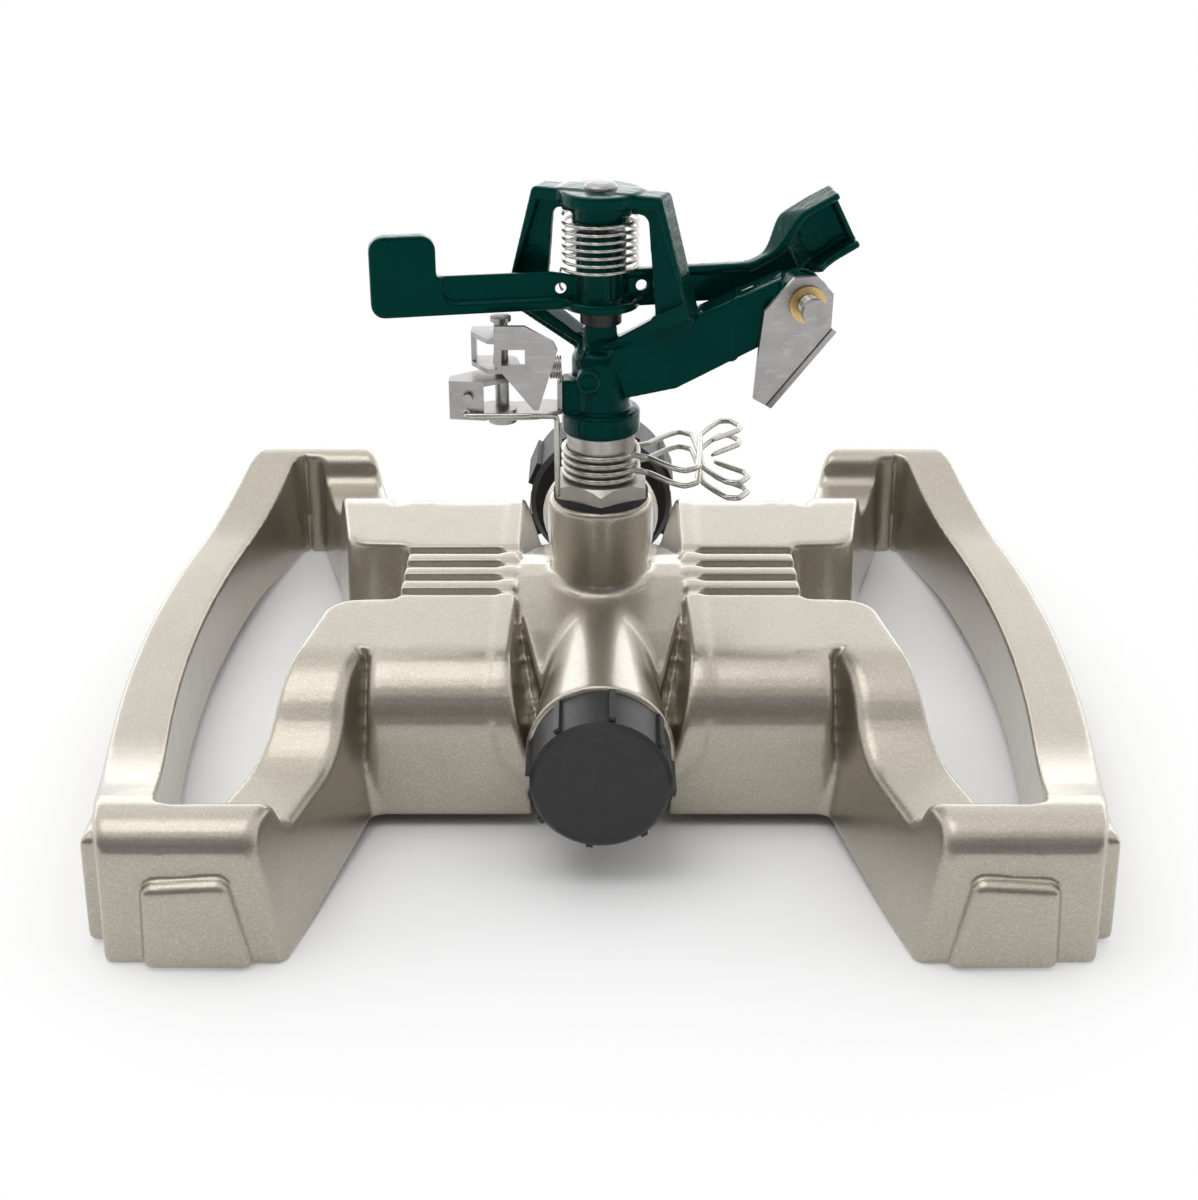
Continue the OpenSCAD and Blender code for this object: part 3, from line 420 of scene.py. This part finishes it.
def crossings(field, i, j, k):
    """For each cell, the mean of the places on its edges where the field changes sign."""
    value = {c: field[i + c[0], j + c[1], k + c[2]] for c in CELL}
    total, hits = np.zeros((len(i), 3)), np.zeros(len(i))
    for c in CELL:
        for axis in range(3):
            if c[axis]:
                continue
            d = tuple(1 if n == axis else c[n] for n in range(3))
            cut = (value[c] < 0) != (value[d] < 0)
            share = np.where(cut, value[c] / np.where(cut, value[c] - value[d], 1), 0)
            total += (np.array(c, float) + np.outer(share, [n == axis for n in range(3)])) * cut[:, None]
            hits += cut
    return total / hits[:, None] + np.stack([i, j, k], 1)


def sampled(field, places):
    """The field's values between its samples."""
    base = np.clip(np.floor(places).astype(int), 0, np.array(field.shape) - 2)
    part_way = places - base
    result = 0
    for corner in CELL:
        weight = 1
        for axis, far in enumerate(corner):
            weight = weight * (part_way[:, axis] if far else 1 - part_way[:, axis])
        result = result + weight * field[tuple((base + corner).T)]
    return result


def settled(field, places, step):
    """Places moved along the field's slope onto its zero surface."""
    for _ in range(SETTLE_ROUNDS):
        slope = np.stack([sampled(field, places + 0.5 * axis) - sampled(field, places - 0.5 * axis)
                          for axis in np.eye(3)], 1)
        steep = np.maximum((slope ** 2).sum(1), 0.05 * step * step)
        places = places - np.clip((sampled(field, places) / steep)[:, None] * slope, -0.4, 0.4)
    return places


def skin_faces(inside, number):
    """Quads between the numbered cells, one for each grid edge that crosses the surface."""
    faces = []
    for axis in range(3):
        a, b = [n for n in range(3) if n != axis]
        span = [slice(1, -1)] * 3
        span[axis] = slice(0, -1)
        near = inside[tuple(span)]
        span[axis] = slice(1, None)
        far = inside[tuple(span)]
        at = np.argwhere(near != far)
        flip = far[tuple(at.T)] ^ (axis == 1)
        at[:, a] += 1
        at[:, b] += 1
        ring = []
        for da, db in ((-1, -1), (0, -1), (0, 0), (-1, 0)):
            cell = at.copy()
            cell[:, a] += da
            cell[:, b] += db
            ring.append(number[tuple(cell.T)])
        quads = np.stack(ring, 1)
        quads[flip] = quads[flip][:, ::-1]
        faces.append(quads)
    return np.concatenate(faces)


def smooth_quads(name, places, faces):
    """A mesh object of smooth-shaded quads, in the scene."""
    mesh = bpy.data.meshes.new(name)
    mesh.vertices.add(len(places))
    mesh.vertices.foreach_set("co", places.astype(np.float32).ravel())
    mesh.loops.add(faces.size)
    mesh.loops.foreach_set("vertex_index", faces.ravel().astype(np.int32))
    mesh.polygons.add(len(faces))
    mesh.polygons.foreach_set("loop_start", np.arange(0, faces.size, 4, dtype=np.int32))
    mesh.polygons.foreach_set("loop_total", np.full(len(faces), 4, np.int32))
    mesh.polygons.foreach_set("use_smooth", np.ones(len(faces), bool))
    mesh.update(calc_edges=True)
    mesh.validate()
    made = bpy.data.objects.new(name, mesh)
    bpy.context.scene.collection.objects.link(made)
    return made


def skin(name, field, low, step):
    """Mesh on the zero surface of the field, whose first sample is at low, in millimetres."""
    inside = field < 0
    nx, ny, nz = (n - 1 for n in field.shape)
    filled = sum(inside[dx:nx + dx, dy:ny + dy, dz:nz + dz].astype(np.int8) for dx, dy, dz in CELL)
    active = (filled > 0) & (filled < 8)
    number = np.full(active.shape, -1, np.int64)
    number[active] = np.arange(active.sum())
    places = settled(field, crossings(field, *np.nonzero(active)), step)
    return smooth_quads(name, (places * step + np.array(low)) * MM, skin_faces(inside, number))


def stand_in(made, node, body, slot):
    """Puts a finished casting in the place of its solid."""
    dress(made, slot)
    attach(made, body)
    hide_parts(node)


# Sled base. Heights of deck, rail, leg and foot above the ground, wall thickness, and half the deck's length

DECK, RAIL, LEG, FOOT, WALL, DECK_END = 41.0, 24.0, 25.0, 33.6, 3.0, 45.2

# The rail's outer face is an arc in plan about (-SWEEP_X, 0); seen from the side its top is flat to RAIL_FLAT
# and then rises on an arc as far as RISE_END

SWEEP_X, SWEEP_R, RAIL_WIDE, RAIL_START = 357.3, 480.5, 14.9, 94.0
RAIL_FLAT, RISE_END, RISE_R = 58.0, 100.5, 112.0
SHOULDER_R, FOOT_R, FOOT_STEP_R, FOOT_FLAT = 17.5, 8.0, 5.0, 107.3
GROOVE_PITCH, GROOVE_FLOOR = 8.8, 38.6
TUBE_Z, TUBE_R, TUBE_WIDENS, TUBE_BORE, RIM_Y, RIM_R = 27.0, 11.4, 5.6, 8.0, 72.0, 17.5
RISER_R, RISER_WIDENS, RISER_BORE, RISER_TOP = 12.7, 0.9, 10.4, 62.4

# One quarter is made and mirrored; its first samples lie this far from the mirror planes

NEAR_MIDDLE = 0.5


def rail_face(x, y, z):
    """Distance outwards from the rail's outer face, which leans in as it rises."""
    return np.hypot(x + SWEEP_X, y) - (SWEEP_R - 0.03 * z)


def shoulder_side(y, z):
    """The deck's rounded end, seen from the side."""
    top_edge = arc_points(DECK_END - 0.7, DECK - SHOULDER_R, SHOULDER_R, 90, 0, 12)
    return flat_distance(half_profile(top_edge + [(62.4, 0)]), y, z)


def sled_block(x, y, z):
    """Leg, deck, rail and shoulder before anything is cut out of them."""
    foot_end = arc_points(109.6, FOOT - FOOT_R, FOOT_R, 90, 4, 7) + [(118.4, 0.0)]
    foot_start = FOOT_FLAT - 2 * FOOT_STEP_R * math.sin(bend_angle(LEG, FOOT, FOOT_STEP_R))
    leg_top = s_step(DECK_END + 0.3, DECK, LEG, 24) + s_step(foot_start, LEG, FOOT, FOOT_STEP_R)
    leg_side = flat_distance(half_profile(leg_top + foot_end), y, z)
    rise = math.degrees(math.asin((RISE_END - RAIL_FLAT) / RISE_R))
    rail_top = arc_points(RAIL_FLAT, RAIL + RISE_R, RISE_R, -90, -90 + rise, 12)
    rail_side = flat_distance(half_profile(rail_top + [(104.4, FOOT - 0.3), (106.5, FOOT)] + foot_end), y, z)
    lean, turn = math.radians(10.5), math.radians(13.75)
    inner_wall = -((x - 55.4) * math.cos(lean) * math.cos(turn) - (y - 64) * math.cos(lean) * math.sin(turn)
                   - z * math.sin(lean))
    leg = both(both(inner_wall, leg_side, 2.4), x - RAIL_START)
    rail = both(both(rail_face(x, y, z), rail_side, 1.8), RAIL_START - x)
    shoulder = both(both(22.6 - 0.16 * (DECK - z) - x, shoulder_side(y, z)), x - 56.3, 2.6)
    deck_side = flat_distance(half_profile([(DECK_END, DECK)]), y, z)
    deck = both(both(deck_side, x - RAIL_START), 50 - x)
    metal = joined(joined(leg, deck), rail)
    return both(joined(metal, shoulder, 3.0), z - DECK)


def side_window(x, y, z):
    """The opening between leg and rail, which narrows downwards."""
    near_leg = [(53, 16.7, 2), (69.8, 17.4, 9), (74.4, 45, 12), (78.6, 68, 30),
                (88.6, 104.4, 3), (96.6, 104.4, 3)]
    near_rail = [(math.sqrt((SWEEP_R - RAIL_WIDE) ** 2 - t * t) - SWEEP_X, t, 0) for t in range(88, -89, -8)]
    plan = near_leg + near_rail + [(a, -b, r) for a, b, r in reversed(near_leg)]
    return flat_distance(rounded_corners(plan), x, y) + (27 - z) * 0.045


def tube_and_riser(x, y, z):
    """Through tube that widens to its rim, its saddle, and the riser on top."""
    across = np.hypot(x, z - TUBE_Z)
    widening = np.clip((y - 13.6) / (RIM_Y - 13.6), 0, 1) * TUBE_WIDENS
    tube = both(across - (TUBE_R + widening), y - RIM_Y, 0.5)
    rim = both(across - RIM_R, np.abs(y - RIM_Y) - 1.0, 0.6)
    saddle_plan = flat_distance([(0, -1), (21.8, -1), (21.8, 15.5), (19.4, 26), (15.2, 44), (8, 44),
                                 (0, 30)], x, y)
    saddle_side = flat_distance([(-2, 16), (-2, DECK), (4.2, DECK), (15, 38.8), (26, 35.8), (36, 32.6),
                                 (46, 28.4), (46, 16)], y, z)
    body = joined(joined(tube, rim, 0.8), both(saddle_plan, saddle_side, 1.3), 1.6)
    widening = np.clip((z - DECK) / (RISER_TOP - DECK), 0, 1) * RISER_WIDENS
    riser = both(np.hypot(x, y) - (RISER_R + widening), both(z - RISER_TOP, 26 - z), 1.3)
    return joined(body, riser, 2.6)


def base_quarter(x, y, z):
    """Distances for the right rear quarter of the base, without what differs between front and back."""
    metal, window = sled_block(x, y, z), side_window(x, y, z)
    hollow = carved(metal, window) + WALL
    clearance = np.clip(3 - (y - 62) / 14, 0, 3)
    solid = both(carved(metal, window, 1.2), clearance - z, 1.2)
    solid = carved(solid, hollow)
    for k in (0.5, 1.5):
        groove = flat_distance([(-1.9, GROOVE_FLOOR), (1.9, GROOVE_FLOOR), (2.5, 43), (-2.5, 43)],
                               y - k * GROOVE_PITCH, z)
        solid = carved(solid, both(groove, both(21.5 - x, x - 60)), 0.5)
    front_pad = flat_distance(rounded_corners([
        (75.3, 0, 2), (99.8, 0, 2), (98.6, 21.4, 3), (80.0, 22.6, 3)]), x, z)
    solid = joined(solid, both(front_pad, both(114 - y, y - 121.1), 2.4), 0.9)
    side_pad = both(both(x + 0.03 * z - 113.9, np.abs(y - 104.2) - 6.4, 1.4), both(z - 28.0, -z), 2.6)
    solid = joined(solid, both(side_pad, -rail_face(x, y, z) - 2.0), 0.4)
    web = flat_distance([(0, 8), (16, 10), (24, 19.6), (26, 30), (26, DECK), (23.0, DECK), (22.2, 36),
                         (20.6, 30), (18.2, 22), (14, 16), (0, 13)], x, z)
    solid = joined(solid, both(web, shoulder_side(y, z), 0.8), 2.0)
    return joined(solid, tube_and_riser(x, y, z), 1.8)


def cast_base():
    """The whole base from its quarter, with the coupling's seat behind and the cap's thread in front."""
    xs, ys = grid_axis(NEAR_MIDDLE, 126, BASE_STEP), grid_axis(NEAR_MIDDLE, 124, BASE_STEP)
    zs = grid_axis(-2.5, 65, BASE_STEP)
    quarter = base_quarter(*spread(xs, ys, zs))
    half = np.concatenate([quarter[:, ::-1], quarter], 1)
    ys = np.concatenate([-ys[::-1], ys])
    x, y, z = spread(xs, ys, zs)
    across = np.hypot(x, z - TUBE_Z)
    coupling_seat = both(across - 14.0, both(y - RIM_Y - 4, 60 - y), 0.6)
    cap_thread = both(across - 13.2, both(-y - 84, 60 + y), 0.6)
    half = joined(joined(half, coupling_seat, 0.8), cap_thread)
    half = carved(half, across - TUBE_BORE)
    half = carved(half, both(np.hypot(x, y) - RISER_BORE, 39 - z))
    whole = np.concatenate([half[::-1], half], 0)
    made = skin("cast_base", whole, (-xs[-1], ys[0], zs[0]), BASE_STEP)
    fewer = made.modifiers.new("fewer_faces", "DECIMATE")
    fewer.ratio = BASE_FACES_KEPT
    stand_in(made, "base_casting", "base", "base_paint")


cast_base()


# Head body. Heights of the skirt's foot, dome, neck, bridge top and deflector screw, and turns in plan

SKIRT_Z, DOME_Z, NECK_Z, BRIDGE_Z, SCREW_Z = 80.6, 103.0, 109.3, 142.6, 117.0
NOZZLE_TURN, BRIDGE_TURN, PLATE_TURN = -5, -22, 10
SKIRT_R, SKIRT_BORE, BARREL_R, BRIDGE_HALF, BRIDGE_WEB_HALF = 10.0, 9.0, 7.4, 3.75, 1.05
SCREW_X, SCREW_Y, EAR_R = 49.972, -9.391, 6.6
PLUG_X, PLUG_Z = -3.1, 95.9
BORE_R, BORE_Z, BORE_RISE, BORE_START = 2.6, 96.6, 26, 36


def nozzle_metal(x, y, z):
    """Nozzle barrel with its collar and the ear that carries the deflector's screw."""
    along, across = turned(x, y, NOZZLE_TURN)
    side = flat_distance([(3, DOME_Z + 0.8), (26.4, DOME_Z + 11), (44.6, DOME_Z + 19.7), (41.2, DOME_Z + 3.0),
                          (19.4, DOME_Z - 9.2), (6.6, DOME_Z - 11.7)], along, z)
    flank = 4.95 + np.clip(19.4 - along, 0, 14) * 0.14
    nozzle = both(side, np.abs(across) - flank, 0.6)
    collar = both(both(side - 0.25, np.abs(along - 33.6) - 0.65), np.abs(across) - 5.2, 0.25)
    nozzle = joined(nozzle, collar, 0.3)
    ear_along, ear_across = turned(x - SCREW_X, y - SCREW_Y, PLATE_TURN)
    ear = both(np.hypot(ear_along, z - SCREW_Z) - EAR_R, both(-ear_across, ear_across - 8.6), 0.8)
    return joined(nozzle, ear, 1.4)


def bridge_metal(x, y, z):
    """Open bridge over the arm, hollowed from both faces, with the disc and the seat for the arm's pin."""
    wide, thick = turned(x, y, BRIDGE_TURN)
    wide = np.abs(wide)
    outer = flat_distance(rounded_corners([
        (-3.6, NECK_Z - 9.2, 0), (3.6, NECK_Z - 8.9, 0), (25.1, NECK_Z + 2.3, 0.8), (24.7, NECK_Z + 4.4, 1.2),
        (16.9, BRIDGE_Z, 1.2), (-3.6, BRIDGE_Z, 0)]), wide, z)
    inner = flat_distance(rounded_corners([
        (-3.8, NECK_Z - 4.7, 0), (3.8, NECK_Z - 3.9, 0), (14.8, NECK_Z + 3.1, 1.2),
        (12.6, BRIDGE_Z - 5.2, 2.4), (-3.8, BRIDGE_Z - 5.2, 0)]), wide, z)
    bridge = both(carved(outer, inner), np.abs(thick) - BRIDGE_HALF, 0.5)
    pocket = flat_distance([(9, NECK_Z + 0.1), (14, NECK_Z + 3.3), (22.9, NECK_Z + 7.9),
                            (15.6, BRIDGE_Z - 3.1), (9, BRIDGE_Z - 3.1)], wide, z)
    under = flat_distance([(4.8, NECK_Z - 11), (27, NECK_Z + 0.6), (24.2, NECK_Z + 4.2), (4.8, NECK_Z - 5.2)],
                          wide, z)
    bridge = carved(bridge, both(joined(pocket, under), BRIDGE_WEB_HALF - np.abs(thick), 0.7), 0.3)
    around = np.hypot(x, y)
    disc = both(around - 10.2, both(z - BRIDGE_Z, BRIDGE_Z - 3.2 - z), 0.6)
    seat = both(around - 7.2, both(z - BRIDGE_Z + 1, BRIDGE_Z - 8.4 - z), 0.5)
    return joined(joined(bridge, disc, 1.2), seat, 0.9)


def head_metal():
    """Distances for the head body, with the grid's first corner and step."""
    xs, ys = grid_axis(-30.2, 58.5, HEAD_STEP), grid_axis(-16.6, 16.6, HEAD_STEP)
    zs = grid_axis(79.4, 144, HEAD_STEP)
    x, y, z = spread(xs, ys, zs)
    around = np.hypot(x, y)
    skirt = both(around - SKIRT_R, np.abs(z - SKIRT_Z - 3.1) - 3.1, 0.9)
    barrel = both(around - BARREL_R, both(z - DOME_Z, SKIRT_Z + 2 - z), 3.6)
    body = joined(joined(skirt, barrel, 0.9), nozzle_metal(x, y, z), 1.6)
    body = joined(body, bridge_metal(x, y, z), 1.0)
    neck = block(x, y, z - (NECK_Z + DOME_Z - 4) / 2, 4.0, 4.0, (NECK_Z - DOME_Z + 4) / 2, 0.6)
    neck = carved(neck, block(x, y + 4.2, z - NECK_Z + 2.6, 3.0, 0.7, 2.5, 0.3), 0.3)
    body = joined(body, neck, 0.9)
    plug = np.hypot(x - PLUG_X, z - PLUG_Z)
    body = joined(body, both(plug - 3.1, both(y + 5, -8.4 - y), 0.7), 0.5)
    body = carved(body, both(plug - 2.1, y + 7.7, 0.3), 0.3)
    bracket_lug = block(x + 6.8, y + 1.5, z - 90.7, 3.0, 3.5, 4.5, 0.6)
    body = joined(body, bracket_lug, 0.8)
    body = carved(body, both(around - SKIRT_BORE, z - 85.2), 0.4)
    along, across = turned(x, y, NOZZLE_TURN)
    c, s = math.cos(math.radians(BORE_RISE)), math.sin(math.radians(BORE_RISE))
    bore = both(np.hypot(across, (z - BORE_Z) * c - along * s) - BORE_R,
                BORE_START - along * c - (z - BORE_Z) * s)
    return carved(body, bore, 0.5), (xs[0], ys[0], zs[0]), HEAD_STEP


# Drive arm, in its own frame with its length along u. Heights of its underside and of the hub's top

ARM_Z, HUB_TOP, HUB_R, HUB_FOOT_R, BEAM_HALF, ARM_TURN = 113.4, 132.8, 6.3, 9.7, 1.9, 9
SPOON_U, SPOON_Z, SPOON_TILT, SPOON_RISE = 38, 122.9, 27, 6.2
HOLE_U, HOLE_Z, HOLE_R = 10.1, 118.4, 1.4


def paddle_and_beam(u, v, z):
    """Counterweight paddle and its beam, with a shallow panel in each face."""
    outline = flat_distance(rounded_corners([
        (-57, 112.9, 3.4), (-3, ARM_Z, 0), (-3, 121.0, 0), (-8.5, 122.0, 0.5), (-12.3, 122.7, 1),
        (-40.8, 122.7, 0.9), (-40.8, 133.1, 3.6), (-57, 133.1, 3.6)]), u, z)
    beam = both(outline, np.abs(v) - BEAM_HALF, 0.6)
    panel = flat_distance(rounded_corners([
        (-39.3, 142, 0), (-39.3, 115.9, 3.2), (-1, 116.0, 0), (-1, 142, 0)]), u, z)
    for face in (v + 0.8, 0.6 - v):
        beam = carved(beam, both(panel, face, 0.8), 0.4)
    return beam


def spoon_web(u, v, z):
    """Upright web that bends towards the spoon, with a band along its top and its bottom edge."""
    outline = flat_distance([(3, 113.5), (34, 113.7), (43.5, 114.6), (50.6, 120.2), (47.4, 127.6),
                             (39.8, 122.6), (3, 122.2)], u, z)
    bend = np.clip((u - 36) / 11, 0, 1)
    half_thick = np.where(u > 31.4 + (118 - z) * 0.25, 0.75, 1.0)
    web = both(outline, np.abs(v + 0.2 + 1.6 * bend * bend) - half_thick, 0.3)
    top_band = flat_distance([(3, 120.9), (38, 121.2), (40, 122.3), (39.6, 123.0), (3, 122.5)], u, z)
    low_band = flat_distance([(3, ARM_Z), (20, ARM_Z), (20, 115.2), (3, 115.6)], u, z)
    web = joined(web, both(top_band, np.abs(v) - 1.6, 0.4), 0.5)
    return joined(web, both(low_band, np.abs(v) - BEAM_HALF, 0.5), 0.6)


def spoon_metal(u, v, z):
    """Twisted spoon in a tilted frame: along is its length and over its height."""
    c, s = math.cos(math.radians(SPOON_TILT)), math.sin(math.radians(SPOON_TILT))
    along = (u - SPOON_U) * c + (z - SPOON_Z) * s
    over = (z - SPOON_Z) * c - (u - SPOON_U) * s
    start, end = 3.8 - 0.55 * v, 15.2 - 0.7 * v
    share = np.clip((along - start) / (end - start), 0, 1)
    height = 0.2 + SPOON_RISE * share * share * (3 - 2 * share)
    slope = SPOON_RISE * 6 * share * (1 - share) / (end - start)
    crest = (over - height) / np.sqrt(1 + slope * slope)
    plan = flat_distance(rounded_corners([
        (-1.5, -1.6, 0), (5, -2.1, 8), (11, -3.5, 8), (17, -4.5, 6), (26.2, -4.7, 0.8), (26.2, 4.8, 0.8),
        (20, 5.0, 12), (14, 4.1, 12), (9, 3.0, 8), (4, 2.1, 8), (-1.5, 1.6, 0)]), along, v)
    top = both(plan, both(crest, -1.7 - crest), 0.55)
    back = [(9.2, -1.6), (10.6, 1.6), (14, 3.9), (20, 5.0), (26.2, 4.8)]
    back_band = flat_distance(back + [(a + 0.2, b - 1.6) for a, b in reversed(back)], along, v)
    wall = both(back_band, both(over - height + 0.4, -9.8 - over), 0.4)
    plate = flat_distance(rounded_corners([
        (10.4, 0.8, 0), (12.4, -2.2, 1), (14.4, -5.2, 0.8), (16.4, -3.6, 4), (19.4, -2.4, 5),
        (26.2, -1.9, 0.8), (26.2, 4.8, 0.8), (20, 5.0, 0), (14, 3.9, 0)]), along, v)
    plate = both(plate, np.abs(over + 8.9) - 0.9, 0.45)
    rib = block(along - 25.5, v - 2.6, over + 1.7, 0.7, 1.5, 8.0, 0.3)
    return joined(joined(joined(top, wall, 0.7), plate, 0.9), rib, 0.4)


def hub_metal(u, v, z):
    """Round hub on its wider foot, with a rib down the front."""
    around = np.hypot(u, v)
    hub = both(around - HUB_R, both(z - HUB_TOP, ARM_Z - z), 0.5)
    foot = both(around - HUB_FOOT_R, both(z - ARM_Z - 2.5, ARM_Z - z), 0.8)
    rib = block(u - 0.5, v + 6.6, z - 121, 0.8, 0.8, 6.5, 0.3)
    return joined(joined(hub, foot, 0.8), rib, 0.4)


def arm_metal():
    """Distances for the drive arm, with the grid's first corner and step."""
    us, vs = grid_axis(-58.3, 67.6, ARM_STEP), grid_axis(-10.8, 10.8, ARM_STEP)
    zs = grid_axis(111.2, 142.2, ARM_STEP)
    u, v, z = spread(us, vs, zs)
    left = joined(paddle_and_beam(u, v, z), hub_metal(u, v, z), 0.6)
    right = joined(spoon_web(u, v, z), spoon_metal(u, v, z), 0.8)
    arm = joined(left, right, 0.6)
    for side in (-1, 1):
        hole = both(np.hypot(u - side * HOLE_U, z - HOLE_Z) - HOLE_R, np.abs(v) - 4)
        arm = carved(arm, hole, 0.25)
    return arm, (us[0], vs[0], zs[0]), ARM_STEP


def enamelled(name, metal, node, body, turn):
    """A green casting from its distances, turned in plan by a number of degrees."""
    made = skin(name, *metal)
    made.data.transform(Matrix.Rotation(math.radians(turn), 4, "Z"))
    stand_in(made, node, body, "head_enamel")


enamelled("cast_head", head_metal(), "head_body", "head", 0)
enamelled("cast_arm", arm_metal(), "drive_arm", "arm", ARM_TURN)


# Floor, light and camera. The photograph's size, the camera's focal length and its axis are in pixels

PHOTO_WIDE, PHOTO_HIGH, FOCAL, AXIS_X = 1198, 1200, 1880.38, 600.9
SENSOR, CAMERA_RISE, CAMERA_REACH, AIM_Z = 36, 25.48, 504.2 * MM, 32 * MM

# Brightness of the sky from the horizon behind the object, 0, over the top, 0.5, to the one in front of it, 1

SKY = ((0.0, 2.0), (0.08, 2.0), (0.13, 0.95), (0.25, 1.0), (0.58, 1.0), (0.76, 0.2), (1.0, 0.12))
SKY_STRENGTH, LAMP_SIZE, LAMP_POWER = 1.15, 0.9, 2.4

# The floor fades to plain white where the metres from its middle, times FADE_SCALE, pass from start to end

FLOOR_SIZE, FADE_SCALE, FADE_START, FADE_END = 6, 2.2, 0.26, 0.46


def plain_floor():
    """Pale matt floor that keeps the shadow near the object and is seen as plain white farther out."""
    stone = finish_sheet("pale_floor")
    stone.tree.nodes.remove(stone.shader)
    tone = stone.mix(stone.noise(0.6, 2, 0.5), grey(0.95), grey(0.98))
    matt = stone.node("ShaderNodeBsdfDiffuse", {}, {"Color": tone})
    glow = stone.node("ShaderNodeEmission", {}, {"Color": grey(1), "Strength": 1.0})
    camera, glossy, transmission = (stone.node("ShaderNodeLightPath", {}, {}, f"Is {kind} Ray")
                                    for kind in ("Camera", "Glossy", "Transmission"))
    reach = stone.node("ShaderNodeVectorMath", {"operation": "LENGTH"}, {0: stone.place}, 1)
    far = stone.fade(reach * FADE_SCALE, FADE_START, FADE_END)
    share = (camera + glossy + transmission) * far
    shown = stone.node("ShaderNodeMixShader", {}, {0: share, 1: matt, 2: glow})
    stone.feed(stone.tree.nodes["Material Output"].inputs["Surface"], shown)
    bpy.ops.mesh.primitive_plane_add(size=FLOOR_SIZE)
    floor = bpy.context.object
    floor.name = "floor"
    floor.data.materials.append(stone.owner)


def key_lamp():
    """One soft round lamp above the object, a little to the left and front."""
    lamp = bpy.data.lights.new("key", "AREA")
    lamp.shape, lamp.size, lamp.energy = "DISK", LAMP_SIZE, LAMP_POWER
    holder = bpy.data.objects.new("key", lamp)
    holder.location = (-0.3, -0.1, 1.1)
    aim = Vector((0, 0, 0.05)) - holder.location
    holder.rotation_euler = aim.to_track_quat("-Z", "Y").to_euler()
    bpy.context.scene.collection.objects.link(holder)


def sky_light():
    """World light that comes from behind and above, so that the faces towards the camera stay darker."""
    world = bpy.data.worlds.new("studio")
    bpy.context.scene.world = world
    sky = Sheet(world, "Generated")
    back, up = (sky.node("ShaderNodeSeparateXYZ", {}, {0: sky.place}, axis) for axis in ("Y", "Z"))
    over = sky.node("ShaderNodeMath", {"operation": "ARCTAN2"}, {0: up, 1: back}) / math.pi
    background = sky.tree.nodes["Background"]
    sky.feed(background.inputs["Color"], sky.ramp(over, *((angle, grey(light)) for angle, light in SKY)))
    sky.feed(background.inputs["Strength"], SKY_STRENGTH)


def photo_camera():
    """Camera in front of the object, at the photograph's distance, height and lens."""
    lens = bpy.data.cameras.new("photo_camera")
    lens.sensor_fit = "AUTO"
    lens.sensor_width = SENSOR
    lens.lens = FOCAL / PHOTO_HIGH * SENSOR
    lens.shift_x = (PHOTO_WIDE / 2 - AXIS_X) / PHOTO_HIGH
    lens.clip_start, lens.clip_end = 0.01, 20
    rise = math.radians(CAMERA_RISE)
    back = Vector((0, -math.cos(rise), math.sin(rise)))
    holder = bpy.data.objects.new("photo_camera", lens)
    holder.location = Vector((0, 0, AIM_Z)) + back * CAMERA_REACH
    holder.rotation_euler = (-back).to_track_quat("-Z", "Y").to_euler()
    bpy.context.scene.collection.objects.link(holder)
    bpy.context.scene.camera = holder


plain_floor()
key_lamp()
sky_light()
photo_camera()
bpy.context.scene.view_settings.view_transform = "Standard"
